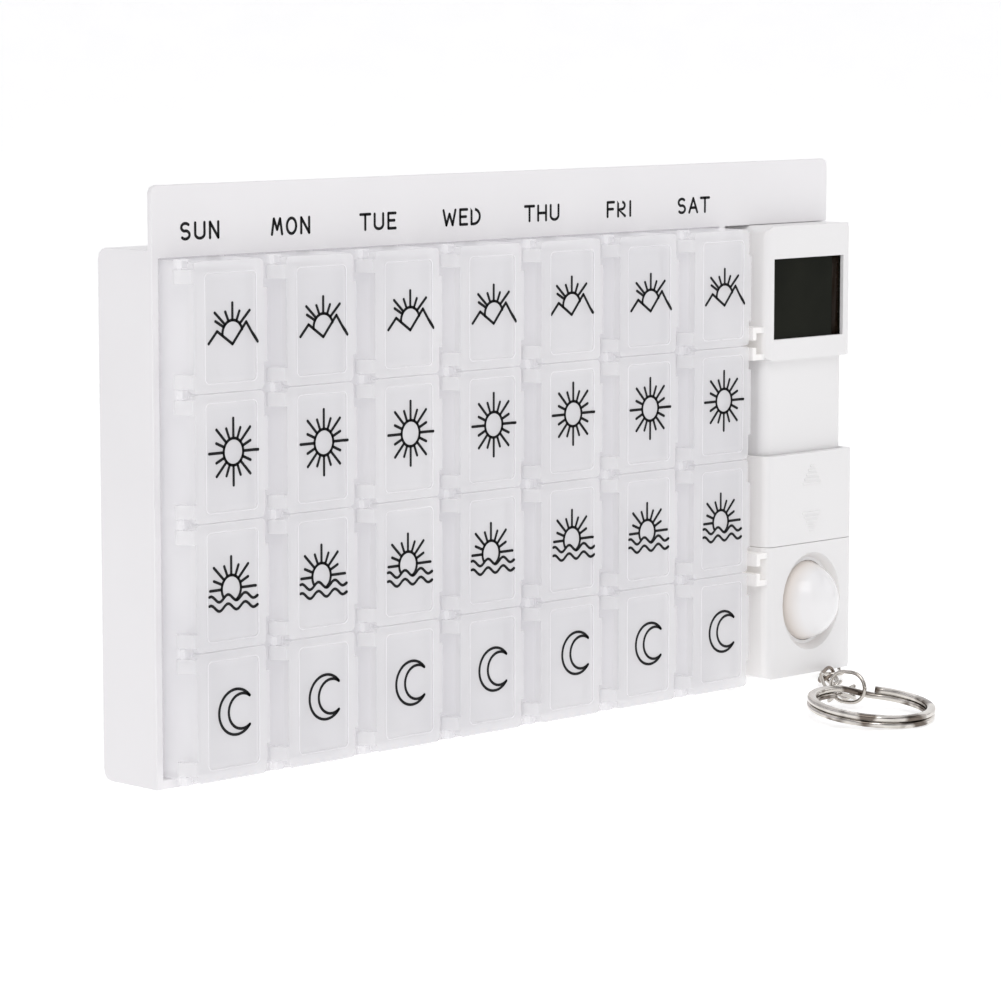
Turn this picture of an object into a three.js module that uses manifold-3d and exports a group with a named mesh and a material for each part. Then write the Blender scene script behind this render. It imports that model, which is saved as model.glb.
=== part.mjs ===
// A weekly electronic pill box: a tray with seven lift-out day boxes, each with four lidded
// compartments, and a clip-on reminder unit with a display, a sliding cover, an alarm button,
// and a key ring on a short chain.
// Units are millimetres. X runs along the week, -Y faces the user and Z is up.
// The origin is the centre of the tray's flat underside.

import * as THREE from 'three';
import { mergeVertices } from 'three/addons/utils/BufferGeometryUtils.js';
import Module from 'manifold-3d';

const wasm = await Module();
wasm.setup();

// Driving dimensions
const DAYS = ['sunday', 'monday', 'tuesday', 'wednesday', 'thursday', 'friday', 'saturday'];
const TIMES = ['morning', 'noon', 'evening', 'bedtime'];

const clearance = 0.3;   // gap between pieces that touch, seat or slide
const overrun = 2;       // how far a cutter runs past the face that it opens
const weldDistance = 1e-5;   // corners nearer than this are one corner
const overlap = 0.4;     // how far a joined lump reaches into its carrier

const tray = {
  depth: 15.6, sideWall: 1.7, boxInset: 0.9, backWall: 2, floor: 1.8, roof: 1.6, divider: 1.8,
  backRadius: 2.2, headerRise: 12, headerThickness: 1.2, headerRadius: 1.4,
  ribThickness: 1, ribDepth: 5,
};
const dayBox = { width: 17, gap: 6, wall: 1, partition: 1.3, cellHeight: 22.9, proud: 6.95 };
const lid = {
  leftOverhang: 0.3, rightInset: 0.1, rowGap: 0.4, endReach: 0.5, thickness: 1.6, cornerRadius: 0.8,
  windowWidth: 12.8, windowHeight: 20.6, windowRight: 1.8, windowDepth: 0.15, windowRadius: 1,
  plugDepth: 1.1, plugWall: 0.8, plugPocket: 0.5,
  tabLength: 14, tabReach: 1.3, tabThickness: 1.1,
};
const hinge = {
  flankReach: 1.6, behindRim: 0.8, pinRadius: 0.55, boreRadius: 0.8, barrelRadius: 1.25,
  lugRadius: 0.95, lugThickness: 1.6, lugWebTop: 0.4, barrelLength: 2.6, pinLength: 2.4,
};
const clip = {
  gapWidth: 6.05, hookReach: 3.1, hookThickness: 1.2, hookLip: 1.5, height: 7,
  lowerSetback: 0.4, upperSetback: 1.3, aboveWaistTop: 3.8325, belowWaistFoot: 4.4725,
  railStem: 1, railHead: 1.3, railHeadHeight: 4,
};
const unit = {
  width: 28.8, endOverhang: 1.35, depth: 20.05, lowerProud: 0.7, bottomGap: 2, topGap: 0.4, wall: 1.4, frontWall: 3,
  edgeRadius: 2.2, cornerRadius: 1.6, partingShare: 0.626, waistInset: 1.3, waistSetback: 1.6, displayInset: 0.4,
  displayBlock: 28.5, alarmBlock: 28.75,
};
const display = {
  openingWidth: 22.9, openingHeight: 17.3, aboveBlockFoot: 4.5, shiftLeft: 0.6, recess: 1.2,
  lensThickness: 0.8, lensMargin: 0.8, panelThickness: 2, panelMargin: 0.3,
};
const cover = {
  height: 19.4, plate: 1.3, side: 0.8, sideDepth: 8.55, lip: 1, lipReach: 0.9,
  markRise: 0.2, markBar: 0.45, markPitch: 0.95, markWidth: 6, markBars: 5,
  upMarkCentre: 14.6, downMarkCentre: 4.4,
};
const dome = {
  centreRise: 15.9, shiftRight: 0.3, radius: 8.5, rise: 7.3, baseSink: 1.7, ovalShare: 0.9,
  dishRadius: 10.7, dishDepth: 1.7, dishFloorShare: 0.55,
  flangeRadius: 10.2, flangeThickness: 1, stemRadius: 2, travel: 0.8,
};
const setButton = {
  radius: 2, flangeRadius: 2.6, flangeThickness: 0.6, spacing: 7, aboveWaistFoot: 10,
  sunk: 0.1,
};
const board = { thickness: 1.2, behindFront: 8.3, footMargin: 7.6, topMargin: 3, bossHoleRadius: 3.1 };
const cell = { radius: 10, thickness: 3.2, centreShare: 0.5 };
const door = {
  radius: 11.2, lugReach: 1.1, lugThickness: 0.9, lugHalfAngle: 14, lugSlotMargin: 2,
  coinSlotLength: 12, coinSlotWidth: 1.6, coinSlotDepth: 0.7, turn: 45,
};
const batteryClip = { thickness: 0.4, width: 8, length: 22 };
const buzzer = { radius: 6, thickness: 3 };
const tact = { size: 6, thickness: 1.6, plungerRadius: 1.6, plungerRise: 0.5 };
const screw = {
  headRadius: 2.2, headHeight: 1.6, shankRadius: 1.2, holeRadius: 1.5, bossRadius: 2.7,
  rearBossRadius: 3.4, slotReachShare: 0.7,
  headSink: 0.4, tipShort: 2, slotWidth: 0.6, slotDepth: 0.7, belowWaistTop: 3, aboveWaistFoot: 2.85,
};
const wire = { radius: 0.4, sides: 6, arcSteps: 3 };
const bail = {
  fromRight: 1.7, fromFront: 1.65, heading: -134.6, legLength: 7, width: 4.9,
  legZ: 0.95, noseZ: 1.5, socketDepth: 2.4, bendRadius: 1, lumpWidth: 7, lumpLength: 9, lumpRise: 5.6,
};
const chainLink = {
  pitch: 9.3, width: 4.2, headings: [-150, -128, -119, -163],
  rearRolls: [70, 50, 50, 50], frontRolls: [-35, -40, -65, -42], endHeights: [1.95, 1.9, 1.9, 2.3],
};
const jumpRing = { length: 8.7, height: 7.2, heading: -76, hookAlong: 2.96, hookBelow: 2.4 };
const keyRing = {
  outerRadius: 13.3, wireWidth: 1.9, wireHeight: 1, coilGap: 0.42, crossoverAngle: 42,
  endAngle: 36, tilt: 6.3, restGap: 0.05, stepsPerTurn: 24, fromRight: 40.9, fromFront: 39.65,
  chamferShare: 0.6,
};
const facets = { pin: 6, bore: 8, barrelArc: 4, lugArc: 4, cornerArc: 2, unitArc: 5, domeArc: 8, button: 12, dome: 32, screw: 8 };

// Places worked out from the dimensions above
const boxCount = DAYS.length;
const rowPitch = dayBox.cellHeight + dayBox.partition;
const boxHeight = TIMES.length * rowPitch - dayBox.partition + 2 * dayBox.wall;
const boxPitch = dayBox.width + dayBox.gap;
const trayWidth = tray.sideWall + tray.boxInset + tray.divider + 2 * clearance + boxCount * boxPitch - dayBox.gap
  + clip.gapWidth + unit.width - unit.endOverhang;
const bodyHeight = tray.floor + boxHeight + tray.roof + 2 * clearance;
const trayLeft = -trayWidth / 2;
const trayRight = trayWidth / 2;
const rimY = -tray.depth / 2;
const trayBackY = tray.depth / 2;
const bayBackY = trayBackY - tray.backWall;
const roofFoot = bodyHeight - tray.roof;
const firstBoxLeft = trayLeft + tray.sideWall + tray.boxInset + clearance;
const dividerLeft = firstBoxLeft + boxCount * boxPitch - dayBox.gap + clearance;
const dividerRight = dividerLeft + tray.divider;
const boxFoot = tray.floor + clearance;
const boxFrontY = rimY - dayBox.proud;
const boxBackY = bayBackY - clearance;
const lidBackY = boxFrontY - clearance;
const lidFrontY = lidBackY - lid.thickness;
const lidHeight = rowPitch - lid.rowGap;
const axisY = boxFrontY + hinge.behindRim;
const lugHalf = hinge.lugThickness / 2;
const unitRight = trayRight + unit.endOverhang;
const unitLeft = unitRight - unit.width;
const unitMiddleX = (unitLeft + unitRight) / 2;
const unitBackY = bayBackY - clearance;
const unitFrontY = unitBackY - unit.depth;
const lowerFrontY = unitFrontY - unit.lowerProud;
const unitFoot = unit.bottomGap;
const unitTop = roofFoot - unit.topGap;
const partingY = unitFrontY + unit.depth * unit.partingShare;
const waistFrontY = unitFrontY + unit.waistSetback;
const waistFoot = unitFoot + unit.alarmBlock;
const waistTop = unitTop - unit.displayBlock;
const cavityFrontY = unitFrontY + unit.frontWall;
const cavityInset = unit.waistInset + unit.wall;
const boardFrontY = unitFrontY + board.behindFront;
const boardBackY = boardFrontY + board.thickness;
const domeX = unitMiddleX + dome.shiftRight;
const domeZ = unitFoot + dome.centreRise;

// Materials
const paint = (color, roughness, metalness = 0, opacity = 1) => new THREE.MeshStandardMaterial({
  color, roughness, metalness, opacity, transparent: opacity < 1,
});
const whiteShell = paint(0xf0eff0, 0.42);
const warmShell = paint(0xf1eeea, 0.38);
const frosted = paint(0xdfdfe4, 0.5, 0, 0.6);
const frostedLid = paint(0xe2e2e7, 0.45, 0, 0.55);
const glossWhite = paint(0xf7f5f2, 0.12);
const darkGlass = paint(0x1d1f18, 0.08);
const darkPanel = paint(0x2a2b22, 0.3);
const boardGreen = paint(0x1f5b34, 0.5);
const steel = paint(0xc9c6c0, 0.22, 1);
const brass = paint(0xc4a35a, 0.3, 1);
const black = paint(0x1b1b1c, 0.5);
const buttonGrey = paint(0xb9babd, 0.6);
const nickel = paint(0xcfcac2, 0.12, 1);

// Solids: closed geometry in, joined or cut solid out
function solid(geometry) {
  const plain = geometry.clone();
  plain.deleteAttribute('normal');
  plain.deleteAttribute('uv');
  const merged = mergeVertices(plain, weldDistance);
  return new wasm.Manifold(new wasm.Mesh({
    numProp: 3,
    vertProperties: new Float32Array(merged.attributes.position.array),
    triVerts: new Uint32Array(merged.index.array),
  }));
}

function join(first, ...others) {
  return others.reduce((sum, next) => sum.add(next), first);
}

function cut(first, ...others) {
  return others.reduce((rest, next) => rest.subtract(next), first);
}

const group = new THREE.Group();

function part(name, shape, material) {
  const data = shape.getMesh();
  const geometry = new THREE.BufferGeometry();
  geometry.setAttribute('position', new THREE.BufferAttribute(new Float32Array(data.vertProperties), 3));
  geometry.setIndex(new THREE.BufferAttribute(new Uint32Array(data.triVerts), 1));
  geometry.computeVertexNormals();
  const mesh = new THREE.Mesh(geometry, material);
  mesh.name = name;
  group.add(mesh);
}

function block(x0, x1, y0, y1, z0, z1) {
  const geometry = new THREE.BoxGeometry(x1 - x0, y1 - y0, z1 - z0);
  geometry.translate((x0 + x1) / 2, (y0 + y1) / 2, (z0 + z1) / 2);
  return solid(geometry);
}

// A round bar between two stations along one axis
function bar(axis, radius, from, to, a, b, sides) {
  const geometry = new THREE.CylinderGeometry(radius, radius, to - from, sides);
  if (axis === 'z') {
    geometry.rotateX(Math.PI / 2);
    geometry.translate(a, b, (from + to) / 2);
  } else if (axis === 'y') {
    geometry.translate(a, (from + to) / 2, b);
  } else {
    geometry.rotateZ(Math.PI / 2);
    geometry.translate((from + to) / 2, a, b);
  }
  return solid(geometry);
}

// A closed outline in X and Z, pushed out along Y from y0 to y1
function slabXZ(shape, y0, y1) {
  const geometry = new THREE.ExtrudeGeometry(shape, { depth: y1 - y0, bevelEnabled: false });
  geometry.rotateX(Math.PI / 2);
  geometry.translate(0, y1, 0);
  return solid(geometry);
}

// A closed outline in X and Y, pushed up along Z from z0 to z1
function slabXY(shape, z0, z1) {
  const geometry = new THREE.ExtrudeGeometry(shape, { depth: z1 - z0, bevelEnabled: false });
  geometry.translate(0, 0, z0);
  return solid(geometry);
}

// Straight steps along an arc, from one angle to another in degrees, added to an outline
function arcTo(shape, x, z, radius, from, to, steps) {
  for (let step = 0; step <= steps; step += 1) {
    const angle = THREE.MathUtils.degToRad(from + ((to - from) * step) / steps);
    shape.lineTo(x + radius * Math.cos(angle), z + radius * Math.sin(angle));
  }
}

function roundedOutline(x0, x1, z0, z1, radius) {
  const shape = new THREE.Shape();
  shape.moveTo(x0 + radius, z0);
  arcTo(shape, x1 - radius, z0 + radius, radius, -90, 0, facets.cornerArc);
  arcTo(shape, x1 - radius, z1 - radius, radius, 0, 90, facets.cornerArc);
  arcTo(shape, x0 + radius, z1 - radius, radius, 90, 180, facets.cornerArc);
  arcTo(shape, x0 + radius, z0 + radius, radius, 180, 270, facets.cornerArc);
  return shape;
}

// A profile of [radius, y] points turned around an axis parallel to Y, then narrowed across X
function turned(points, x, z, sides, widthShare = 1) {
  const profile = points.map(([radius, y]) => new THREE.Vector2(radius, y));
  const geometry = new THREE.LatheGeometry(profile, sides);
  geometry.scale(widthShare, 1, 1);
  geometry.translate(x, 0, z);
  return solid(geometry);
}

// Tray: one moulding with the header strip, the unit's bay and the clip rails
function trayOutline() {
  const radius = tray.backRadius;
  const shape = new THREE.Shape();
  shape.moveTo(-rimY, 0);
  shape.lineTo(-rimY, bodyHeight);
  arcTo(shape, radius - trayBackY, bodyHeight - radius, radius, 90, 180, facets.cornerArc + 1);
  arcTo(shape, radius - trayBackY, radius, radius, 180, 270, facets.cornerArc + 1);
  return shape;
}

function hookCentres() {
  return [waistTop + clip.aboveWaistTop, waistFoot - clip.belowWaistFoot];
}

function clipRail(z) {
  const headRight = unitLeft - clearance;
  const headLeft = headRight - clip.railHead;
  const stem = block(dividerRight - overlap, headLeft + overlap, rimY, bayBackY + overlap,
    z - clip.railStem / 2, z + clip.railStem / 2);
  const head = block(headLeft, headRight, rimY, bayBackY + overlap,
    z - clip.railHeadHeight / 2, z + clip.railHeadHeight / 2);
  return stem.add(head);
}

function buildTray() {
  const profile = new THREE.ExtrudeGeometry(trayOutline(), { depth: trayWidth, bevelEnabled: false });
  // The outline's first axis is -Y and its second is Z: turn it to face along X.
  const turn = new THREE.Matrix4().makeBasis(
    new THREE.Vector3(0, -1, 0), new THREE.Vector3(0, 0, 1), new THREE.Vector3(-1, 0, 0));
  profile.applyMatrix4(turn);
  profile.translate(trayRight, 0, 0);
  const bayFront = rimY - overrun;
  let body = cut(solid(profile),
    block(trayLeft + tray.sideWall, dividerLeft, bayFront, bayBackY, tray.floor, roofFoot),
    block(dividerRight, trayRight + overrun, bayFront, bayBackY, -overrun, roofFoot));
  const header = slabXZ(
    roundedOutline(trayLeft, trayRight, roofFoot, bodyHeight + tray.headerRise, tray.headerRadius),
    rimY, rimY + tray.headerThickness);
  body = body.add(header);
  for (let gap = 0; gap < boxCount - 1; gap += 1) {
    const left = firstBoxLeft + gap * boxPitch + dayBox.width + clearance;
    const right = firstBoxLeft + (gap + 1) * boxPitch - clearance;
    for (const x of [left, right - tray.ribThickness]) {
      body = body.add(block(x, x + tray.ribThickness, bayBackY - tray.ribDepth, bayBackY + overlap,
        tray.floor - overlap, roofFoot + overlap));
    }
  }
  for (const z of hookCentres()) body = body.add(clipRail(z));
  part('tray', body, whiteShell);
}

// Day boxes: four open cells in a row, with hinge lugs and pins on the left flank
function lugOutline(axisX, flankX) {
  const radius = hinge.lugRadius;
  const shape = new THREE.Shape();
  shape.moveTo(flankX + overlap, axisY - hinge.lugWebTop);
  shape.lineTo(flankX + overlap, axisY + radius);
  arcTo(shape, axisX, axisY, radius, 90, 315, facets.lugArc);
  return shape;
}

function hingeLug(axisX, flankX, z0, z1, pinsDown, pinsUp) {
  let lug = slabXY(lugOutline(axisX, flankX), z0, z1);
  const from = pinsDown ? z0 - hinge.pinLength : z0;
  const to = pinsUp ? z1 + hinge.pinLength : z1;
  lug = lug.add(bar('z', hinge.pinRadius, from, to, axisX, axisY, facets.pin));
  return lug;
}

function buildDayBox(index) {
  const left = firstBoxLeft + index * boxPitch;
  const right = left + dayBox.width;
  const axisX = left - hinge.flankReach;
  let body = block(left, right, boxFrontY, boxBackY, boxFoot, boxFoot + boxHeight);
  for (let row = 0; row < TIMES.length; row += 1) {
    const z0 = boxFoot + dayBox.wall + row * rowPitch;
    body = body.subtract(block(left + dayBox.wall, right - dayBox.wall,
      boxFrontY - overrun, boxBackY - dayBox.wall, z0, z0 + dayBox.cellHeight));
  }
  for (let border = 0; border <= TIMES.length; border += 1) {
    const middle = lidFoot(border) - lid.rowGap / 2;
    body = body.add(hingeLug(axisX, left, middle - lugHalf, middle + lugHalf,
      border > 0, border < TIMES.length));
  }
  part(`day_box_${DAYS[index]}`, body, frosted);
}

// Lids: a plate with a sunk window, a plug behind it, two hinge barrels and a thumb tab
function lidFoot(row) {
  return boxFoot + dayBox.wall - dayBox.partition / 2 + lid.rowGap / 2 + row * rowPitch;
}

function barrelOutline(axisX, lidLeft) {
  const radius = hinge.barrelRadius;
  const shape = new THREE.Shape();
  shape.moveTo(lidLeft + overlap, lidFrontY);
  shape.lineTo(lidLeft + overlap, lidBackY);
  shape.lineTo(lidLeft, lidBackY);
  arcTo(shape, axisX, axisY, radius, 0, 180, facets.barrelArc);
  shape.lineTo(lidLeft - radius / 2, lidFrontY);
  return shape;
}

function hingeBarrel(axisX, lidLeft, z0) {
  const z1 = z0 + hinge.barrelLength;
  return cut(slabXY(barrelOutline(axisX, lidLeft), z0, z1),
    bar('z', hinge.boreRadius, z0 - overrun, z1 + overrun, axisX, axisY, facets.bore));
}

function buildLid(index, row) {
  const boxLeft = firstBoxLeft + index * boxPitch;
  const boxRight = boxLeft + dayBox.width;
  const left = boxLeft - lid.leftOverhang;
  const right = boxRight - lid.rightInset;
  const foot = lidFoot(row);
  const top = foot + lidHeight;
  const middle = (foot + top) / 2;
  const plateFoot = row === 0 ? foot - lid.endReach : foot;
  const plateTop = row === TIMES.length - 1 ? top + lid.endReach : top;
  const axisX = boxLeft - hinge.flankReach;
  const plugEndY = boxFrontY + lid.plugDepth;
  const plugLeft = boxLeft + dayBox.wall + clearance;
  const plugRight = boxRight - dayBox.wall - clearance;
  const plugHalf = dayBox.cellHeight / 2 - clearance;
  const windowRight = right - lid.windowRight;
  const plate = slabXZ(roundedOutline(left, right, plateFoot, plateTop, lid.cornerRadius), lidFrontY, lidBackY);
  const plug = block(plugLeft, plugRight, lidBackY - overlap, plugEndY, middle - plugHalf, middle + plugHalf);
  const pocket = block(plugLeft + lid.plugWall, plugRight - lid.plugWall,
    lidBackY - lid.plugPocket, plugEndY + overrun,
    middle - plugHalf + lid.plugWall, middle + plugHalf - lid.plugWall);
  const window = slabXZ(
    roundedOutline(windowRight - lid.windowWidth, windowRight,
      middle - lid.windowHeight / 2, middle + lid.windowHeight / 2, lid.windowRadius),
    lidFrontY - overrun, lidFrontY + lid.windowDepth);
  const thumbTab = block(right - overlap, right + lid.tabReach,
    lidBackY - lid.tabThickness, lidBackY,
    middle - lid.tabLength / 2, middle + lid.tabLength / 2);
  const lugClear = lugHalf - lid.rowGap / 2 + clearance;
  const body = join(plate, plug, thumbTab,
    hingeBarrel(axisX, left, foot + lugClear),
    hingeBarrel(axisX, left, top - lugClear - hinge.barrelLength));
  part(`lid_${DAYS[index]}_${TIMES[TIMES.length - 1 - row]}`, cut(body, pocket, window), frostedLid);
}

// Reminder unit: two shells
function unitOutline(x0, x1, y0, y1, radius) {
  const shape = new THREE.Shape();
  shape.moveTo(x1, y1);
  shape.lineTo(x0, y1);
  arcTo(shape, x0 + radius, y0 + radius, radius, 180, 270, facets.unitArc);
  arcTo(shape, x1 - radius, y0 + radius, radius, 270, 360, facets.unitArc);
  return shape;
}

// A block of the unit's outline whose four corners are also rounded as seen from the front
function roundedBlock(x0, x1, y0, y1, z0, z1) {
  return slabXY(unitOutline(x0, x1, y0, y1, unit.edgeRadius), z0, z1)
    .intersect(slabXZ(roundedOutline(x0, x1, z0, z1, unit.cornerRadius), y0, y1));
}

function clipHooks(z) {
  const half = clip.height / 2;
  const outer = unitLeft - clip.hookReach;
  const upper = z > waistTop;
  const y0 = upper ? unitFrontY + clip.upperSetback : lowerFrontY + clip.lowerSetback;
  const root = unitLeft + overlap + (upper ? unit.displayInset : 0);
  const y1 = partingY - clearance;
  const arms = [];
  for (const side of [-1, 1]) {
    const far = z + side * half;
    const near = far - side * clip.hookThickness;
    const tip = near - side * clip.hookLip;
    arms.push(block(outer, root, y0, y1, Math.min(far, near), Math.max(far, near)));
    arms.push(block(outer, outer + clip.hookThickness, y0, y1, Math.min(far, tip), Math.max(far, tip)));
  }
  return arms;
}

function screwPlaces() {
  return [waistTop - screw.belowWaistTop, waistFoot + screw.aboveWaistFoot];
}

function setButtonPlaces() {
  return [-1, 0, 1].map((step) => unitMiddleX + step * setButton.spacing);
}

const openingFoot = waistTop + display.aboveBlockFoot;
const openingTop = openingFoot + display.openingHeight;
const openingLeft = unitMiddleX - display.shiftLeft - display.openingWidth / 2;
const openingRight = openingLeft + display.openingWidth;
const lensFrontY = unitFrontY + display.recess;
const setButtonZ = waistFoot + setButton.aboveWaistFoot;
const grooveDepth = cover.lipReach - (unit.waistInset - cover.side) + clearance;
const coverLipFrontY = unitFrontY + cover.sideDepth - cover.lip;

function buildFrontShell() {
  const radius = unit.edgeRadius;
  const waistLeft = unitLeft + unit.waistInset;
  const waistRight = unitRight - unit.waistInset;
  let body = join(
    roundedBlock(unitLeft + unit.displayInset, unitRight - unit.displayInset, unitFrontY, partingY,
      waistTop, unitTop),
    slabXY(unitOutline(waistLeft, waistRight, waistFrontY, partingY, radius),
      waistFoot - overlap, waistTop + overlap),
    slabXY(unitOutline(unitLeft, unitRight, lowerFrontY, partingY, radius), unitFoot, waistFoot));
  body = cut(body,
    block(unitLeft + cavityInset, unitRight - cavityInset,
      cavityFrontY, partingY + overrun, unitFoot + unit.wall, unitTop - unit.wall),
    block(unitLeft + unit.displayInset + unit.wall, unitRight - unit.displayInset - unit.wall,
      cavityFrontY, partingY + overrun, waistTop + unit.wall, unitTop - unit.wall));
  for (const z of screwPlaces()) {
    const boss = bar('y', screw.bossRadius, cavityFrontY - overlap, partingY, unitMiddleX, z, facets.screw);
    const pilot = bar('y', screw.holeRadius, cavityFrontY + screw.tipShort, partingY + overrun,
      unitMiddleX, z, facets.screw);
    body = body.add(boss).subtract(pilot);
  }
  body = body.add(block(unitRight - bail.lumpWidth, unitRight - overlap, unitFrontY + overlap,
    unitFrontY + bail.lumpLength, unitFoot, unitFoot + bail.lumpRise));
  for (const [x, y] of bailSockets()) {
    body = body.subtract(bar('z', wire.radius + clearance, unitFoot - overrun,
      unitFoot + bail.socketDepth + clearance, x, y, facets.bore));
  }
  body = join(body.intersect(roundedBlock(unitLeft, unitRight, lowerFrontY, partingY, unitFoot, unitTop)),
    ...hookCentres().flatMap(clipHooks));
  const opening = block(openingLeft, openingRight, unitFrontY - overrun, cavityFrontY + overrun,
    openingFoot, openingTop);
  const margin = display.lensMargin + clearance;
  const lensPocket = block(openingLeft - margin, openingRight + margin,
    lensFrontY - clearance, cavityFrontY + overlap, openingFoot - margin, openingTop + margin);
  const dish = turned([
    [0, lowerFrontY - overrun], [dome.dishRadius, lowerFrontY - overrun], [dome.dishRadius, lowerFrontY],
    [dome.dishRadius - (dome.dishRadius - dome.radius) * dome.dishFloorShare, lowerFrontY + dome.dishDepth],
    [dome.radius + clearance, lowerFrontY + dome.dishDepth],
    [dome.radius + clearance, cavityFrontY + overrun], [0, cavityFrontY + overrun],
  ], domeX, domeZ, facets.dome, dome.ovalShare);
  body = cut(body, opening, lensPocket, dish);
  for (const x of setButtonPlaces()) {
    body = body.subtract(bar('y', setButton.radius + clearance, waistFrontY - overrun,
      cavityFrontY + overrun, x, setButtonZ, facets.button));
  }
  for (const [wallX, inward] of [[waistLeft, 1], [waistRight, -1]]) {
    const x = [wallX - inward * overrun, wallX + inward * grooveDepth];
    body = body.subtract(block(Math.min(...x), Math.max(...x), coverLipFrontY - clearance,
      coverLipFrontY + cover.lip + clearance, waistFoot, waistTop));
  }
  part('unit_front_shell', body, warmShell);
}

const doorX = unitMiddleX;
const doorZ = unitFoot + cell.centreShare * (unitTop - unitFoot);
const doorRimY = unitBackY - unit.wall;

// Two bayonet lugs, as wedges on opposite sides of a round door or hole, turned about its axis
function bayonet(radius, y0, y1, halfAngle, turn) {
  return [90 + turn, 270 + turn].map((facing) => {
    const shape = new THREE.Shape();
    shape.moveTo(0, 0);
    arcTo(shape, 0, 0, radius, facing - halfAngle, facing + halfAngle, facets.cornerArc);
    return slabXZ(shape, y0, y1).translate([doorX, 0, doorZ]);
  });
}

function buildRearShell() {
  const y0 = partingY + clearance;
  let body = block(unitLeft, unitRight, y0, unitBackY, unitFoot, unitTop);
  body = body.subtract(block(unitLeft + cavityInset, unitRight - cavityInset,
    y0 - overrun, unitBackY - unit.wall, unitFoot + unit.wall, unitTop - unit.wall));
  for (const z of screwPlaces()) {
    const boss = bar('y', screw.rearBossRadius, y0, unitBackY - overlap,
      unitMiddleX, z, facets.screw);
    const hole = bar('y', screw.holeRadius, y0 - overrun, unitBackY, unitMiddleX, z, facets.screw);
    const sink = bar('y', screw.headRadius + clearance,
      unitBackY - screw.headSink - screw.headHeight - clearance, unitBackY + overrun,
      unitMiddleX, z, facets.screw);
    body = body.add(boss).subtract(hole).subtract(sink);
  }
  const doorHole = bar('y', door.radius + clearance, unitBackY - unit.wall - overrun,
    unitBackY + overrun, doorX, doorZ, facets.dome);
  const slots = bayonet(door.radius + door.lugReach + clearance, unitBackY - unit.wall - overlap,
    unitBackY + overrun, door.lugHalfAngle + door.lugSlotMargin, door.turn);
  const corners = slabXZ(roundedOutline(unitLeft, unitRight, unitFoot, unitTop, unit.cornerRadius),
    y0, unitBackY);
  part('unit_rear_shell', cut(body, doorHole, ...slots).intersect(corners), warmShell);
}

function buildBatteryDoor() {
  const lugBackY = doorRimY - clearance;
  const disc = bar('y', door.radius, lugBackY - door.lugThickness, unitBackY, doorX, doorZ, facets.dome);
  const slot = block(doorX - door.coinSlotLength / 2, doorX + door.coinSlotLength / 2,
    unitBackY - door.coinSlotDepth, unitBackY + overrun,
    doorZ - door.coinSlotWidth / 2, doorZ + door.coinSlotWidth / 2);
  const lugs = bayonet(door.radius + door.lugReach, lugBackY - door.lugThickness, lugBackY,
    door.lugHalfAngle, 0);
  part('battery_door', cut(join(disc, ...lugs), slot), warmShell);
}

// Everything inside the unit
function buildDisplay() {
  const margin = display.lensMargin;
  const lensBackY = lensFrontY + display.lensThickness;
  part('display_lens', block(openingLeft - margin, openingRight + margin, lensFrontY, lensBackY,
    openingFoot - margin, openingTop + margin), darkGlass);
  const panelMargin = display.panelMargin;
  const panelFrontY = lensBackY + clearance;
  part('display_panel', block(openingLeft - panelMargin, openingRight + panelMargin,
    panelFrontY, panelFrontY + display.panelThickness,
    openingFoot - panelMargin, openingTop + panelMargin), darkPanel);
}

function buildBoard() {
  let plate = block(unitLeft + cavityInset + clearance, unitRight - cavityInset - clearance,
    boardFrontY, boardBackY, unitFoot + board.footMargin, unitTop - board.topMargin);
  for (const z of screwPlaces()) {
    plate = plate.subtract(bar('y', board.bossHoleRadius, boardFrontY - overrun,
      boardBackY + overrun, unitMiddleX, z, facets.screw));
  }
  part('circuit_board', plate, boardGreen);
  const tactBackY = boardFrontY - clearance;
  const tactFrontY = tactBackY - tact.thickness;
  const half = tact.size / 2;
  part('alarm_switch', join(
    block(domeX - half, domeX + half, tactFrontY, tactBackY, domeZ - half, domeZ + half),
    bar('y', tact.plungerRadius, tactFrontY - tact.plungerRise, tactFrontY + overlap,
      domeX, domeZ, facets.screw)), black);
  const buzzerFrontY = boardBackY + clearance;
  part('buzzer', bar('y', buzzer.radius, buzzerFrontY, buzzerFrontY + buzzer.thickness,
    unitMiddleX, domeZ, facets.button), black);
}

function buildBattery() {
  const backY = doorRimY - clearance - door.lugThickness - clearance;
  const frontY = backY - cell.thickness;
  part('coin_cell', bar('y', cell.radius, frontY, backY, doorX, doorZ, facets.dome), steel);
  const clipBackY = frontY - clearance;
  const clipFrontY = boardBackY + clearance;
  const half = batteryClip.length / 2;
  const halfWidth = batteryClip.width / 2;
  const leaf = block(doorX - halfWidth, doorX + halfWidth, clipBackY - batteryClip.thickness, clipBackY,
    doorZ - half, doorZ + half);
  const foot = block(doorX - halfWidth, doorX + halfWidth, clipFrontY, clipBackY,
    doorZ - half, doorZ - half + batteryClip.thickness);
  const pad = block(doorX - halfWidth, doorX + halfWidth, clipFrontY, clipFrontY + batteryClip.thickness,
    doorZ - half, doorZ - half + batteryClip.width / 2);
  part('battery_clip', join(leaf, foot, pad), brass);
}

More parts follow.
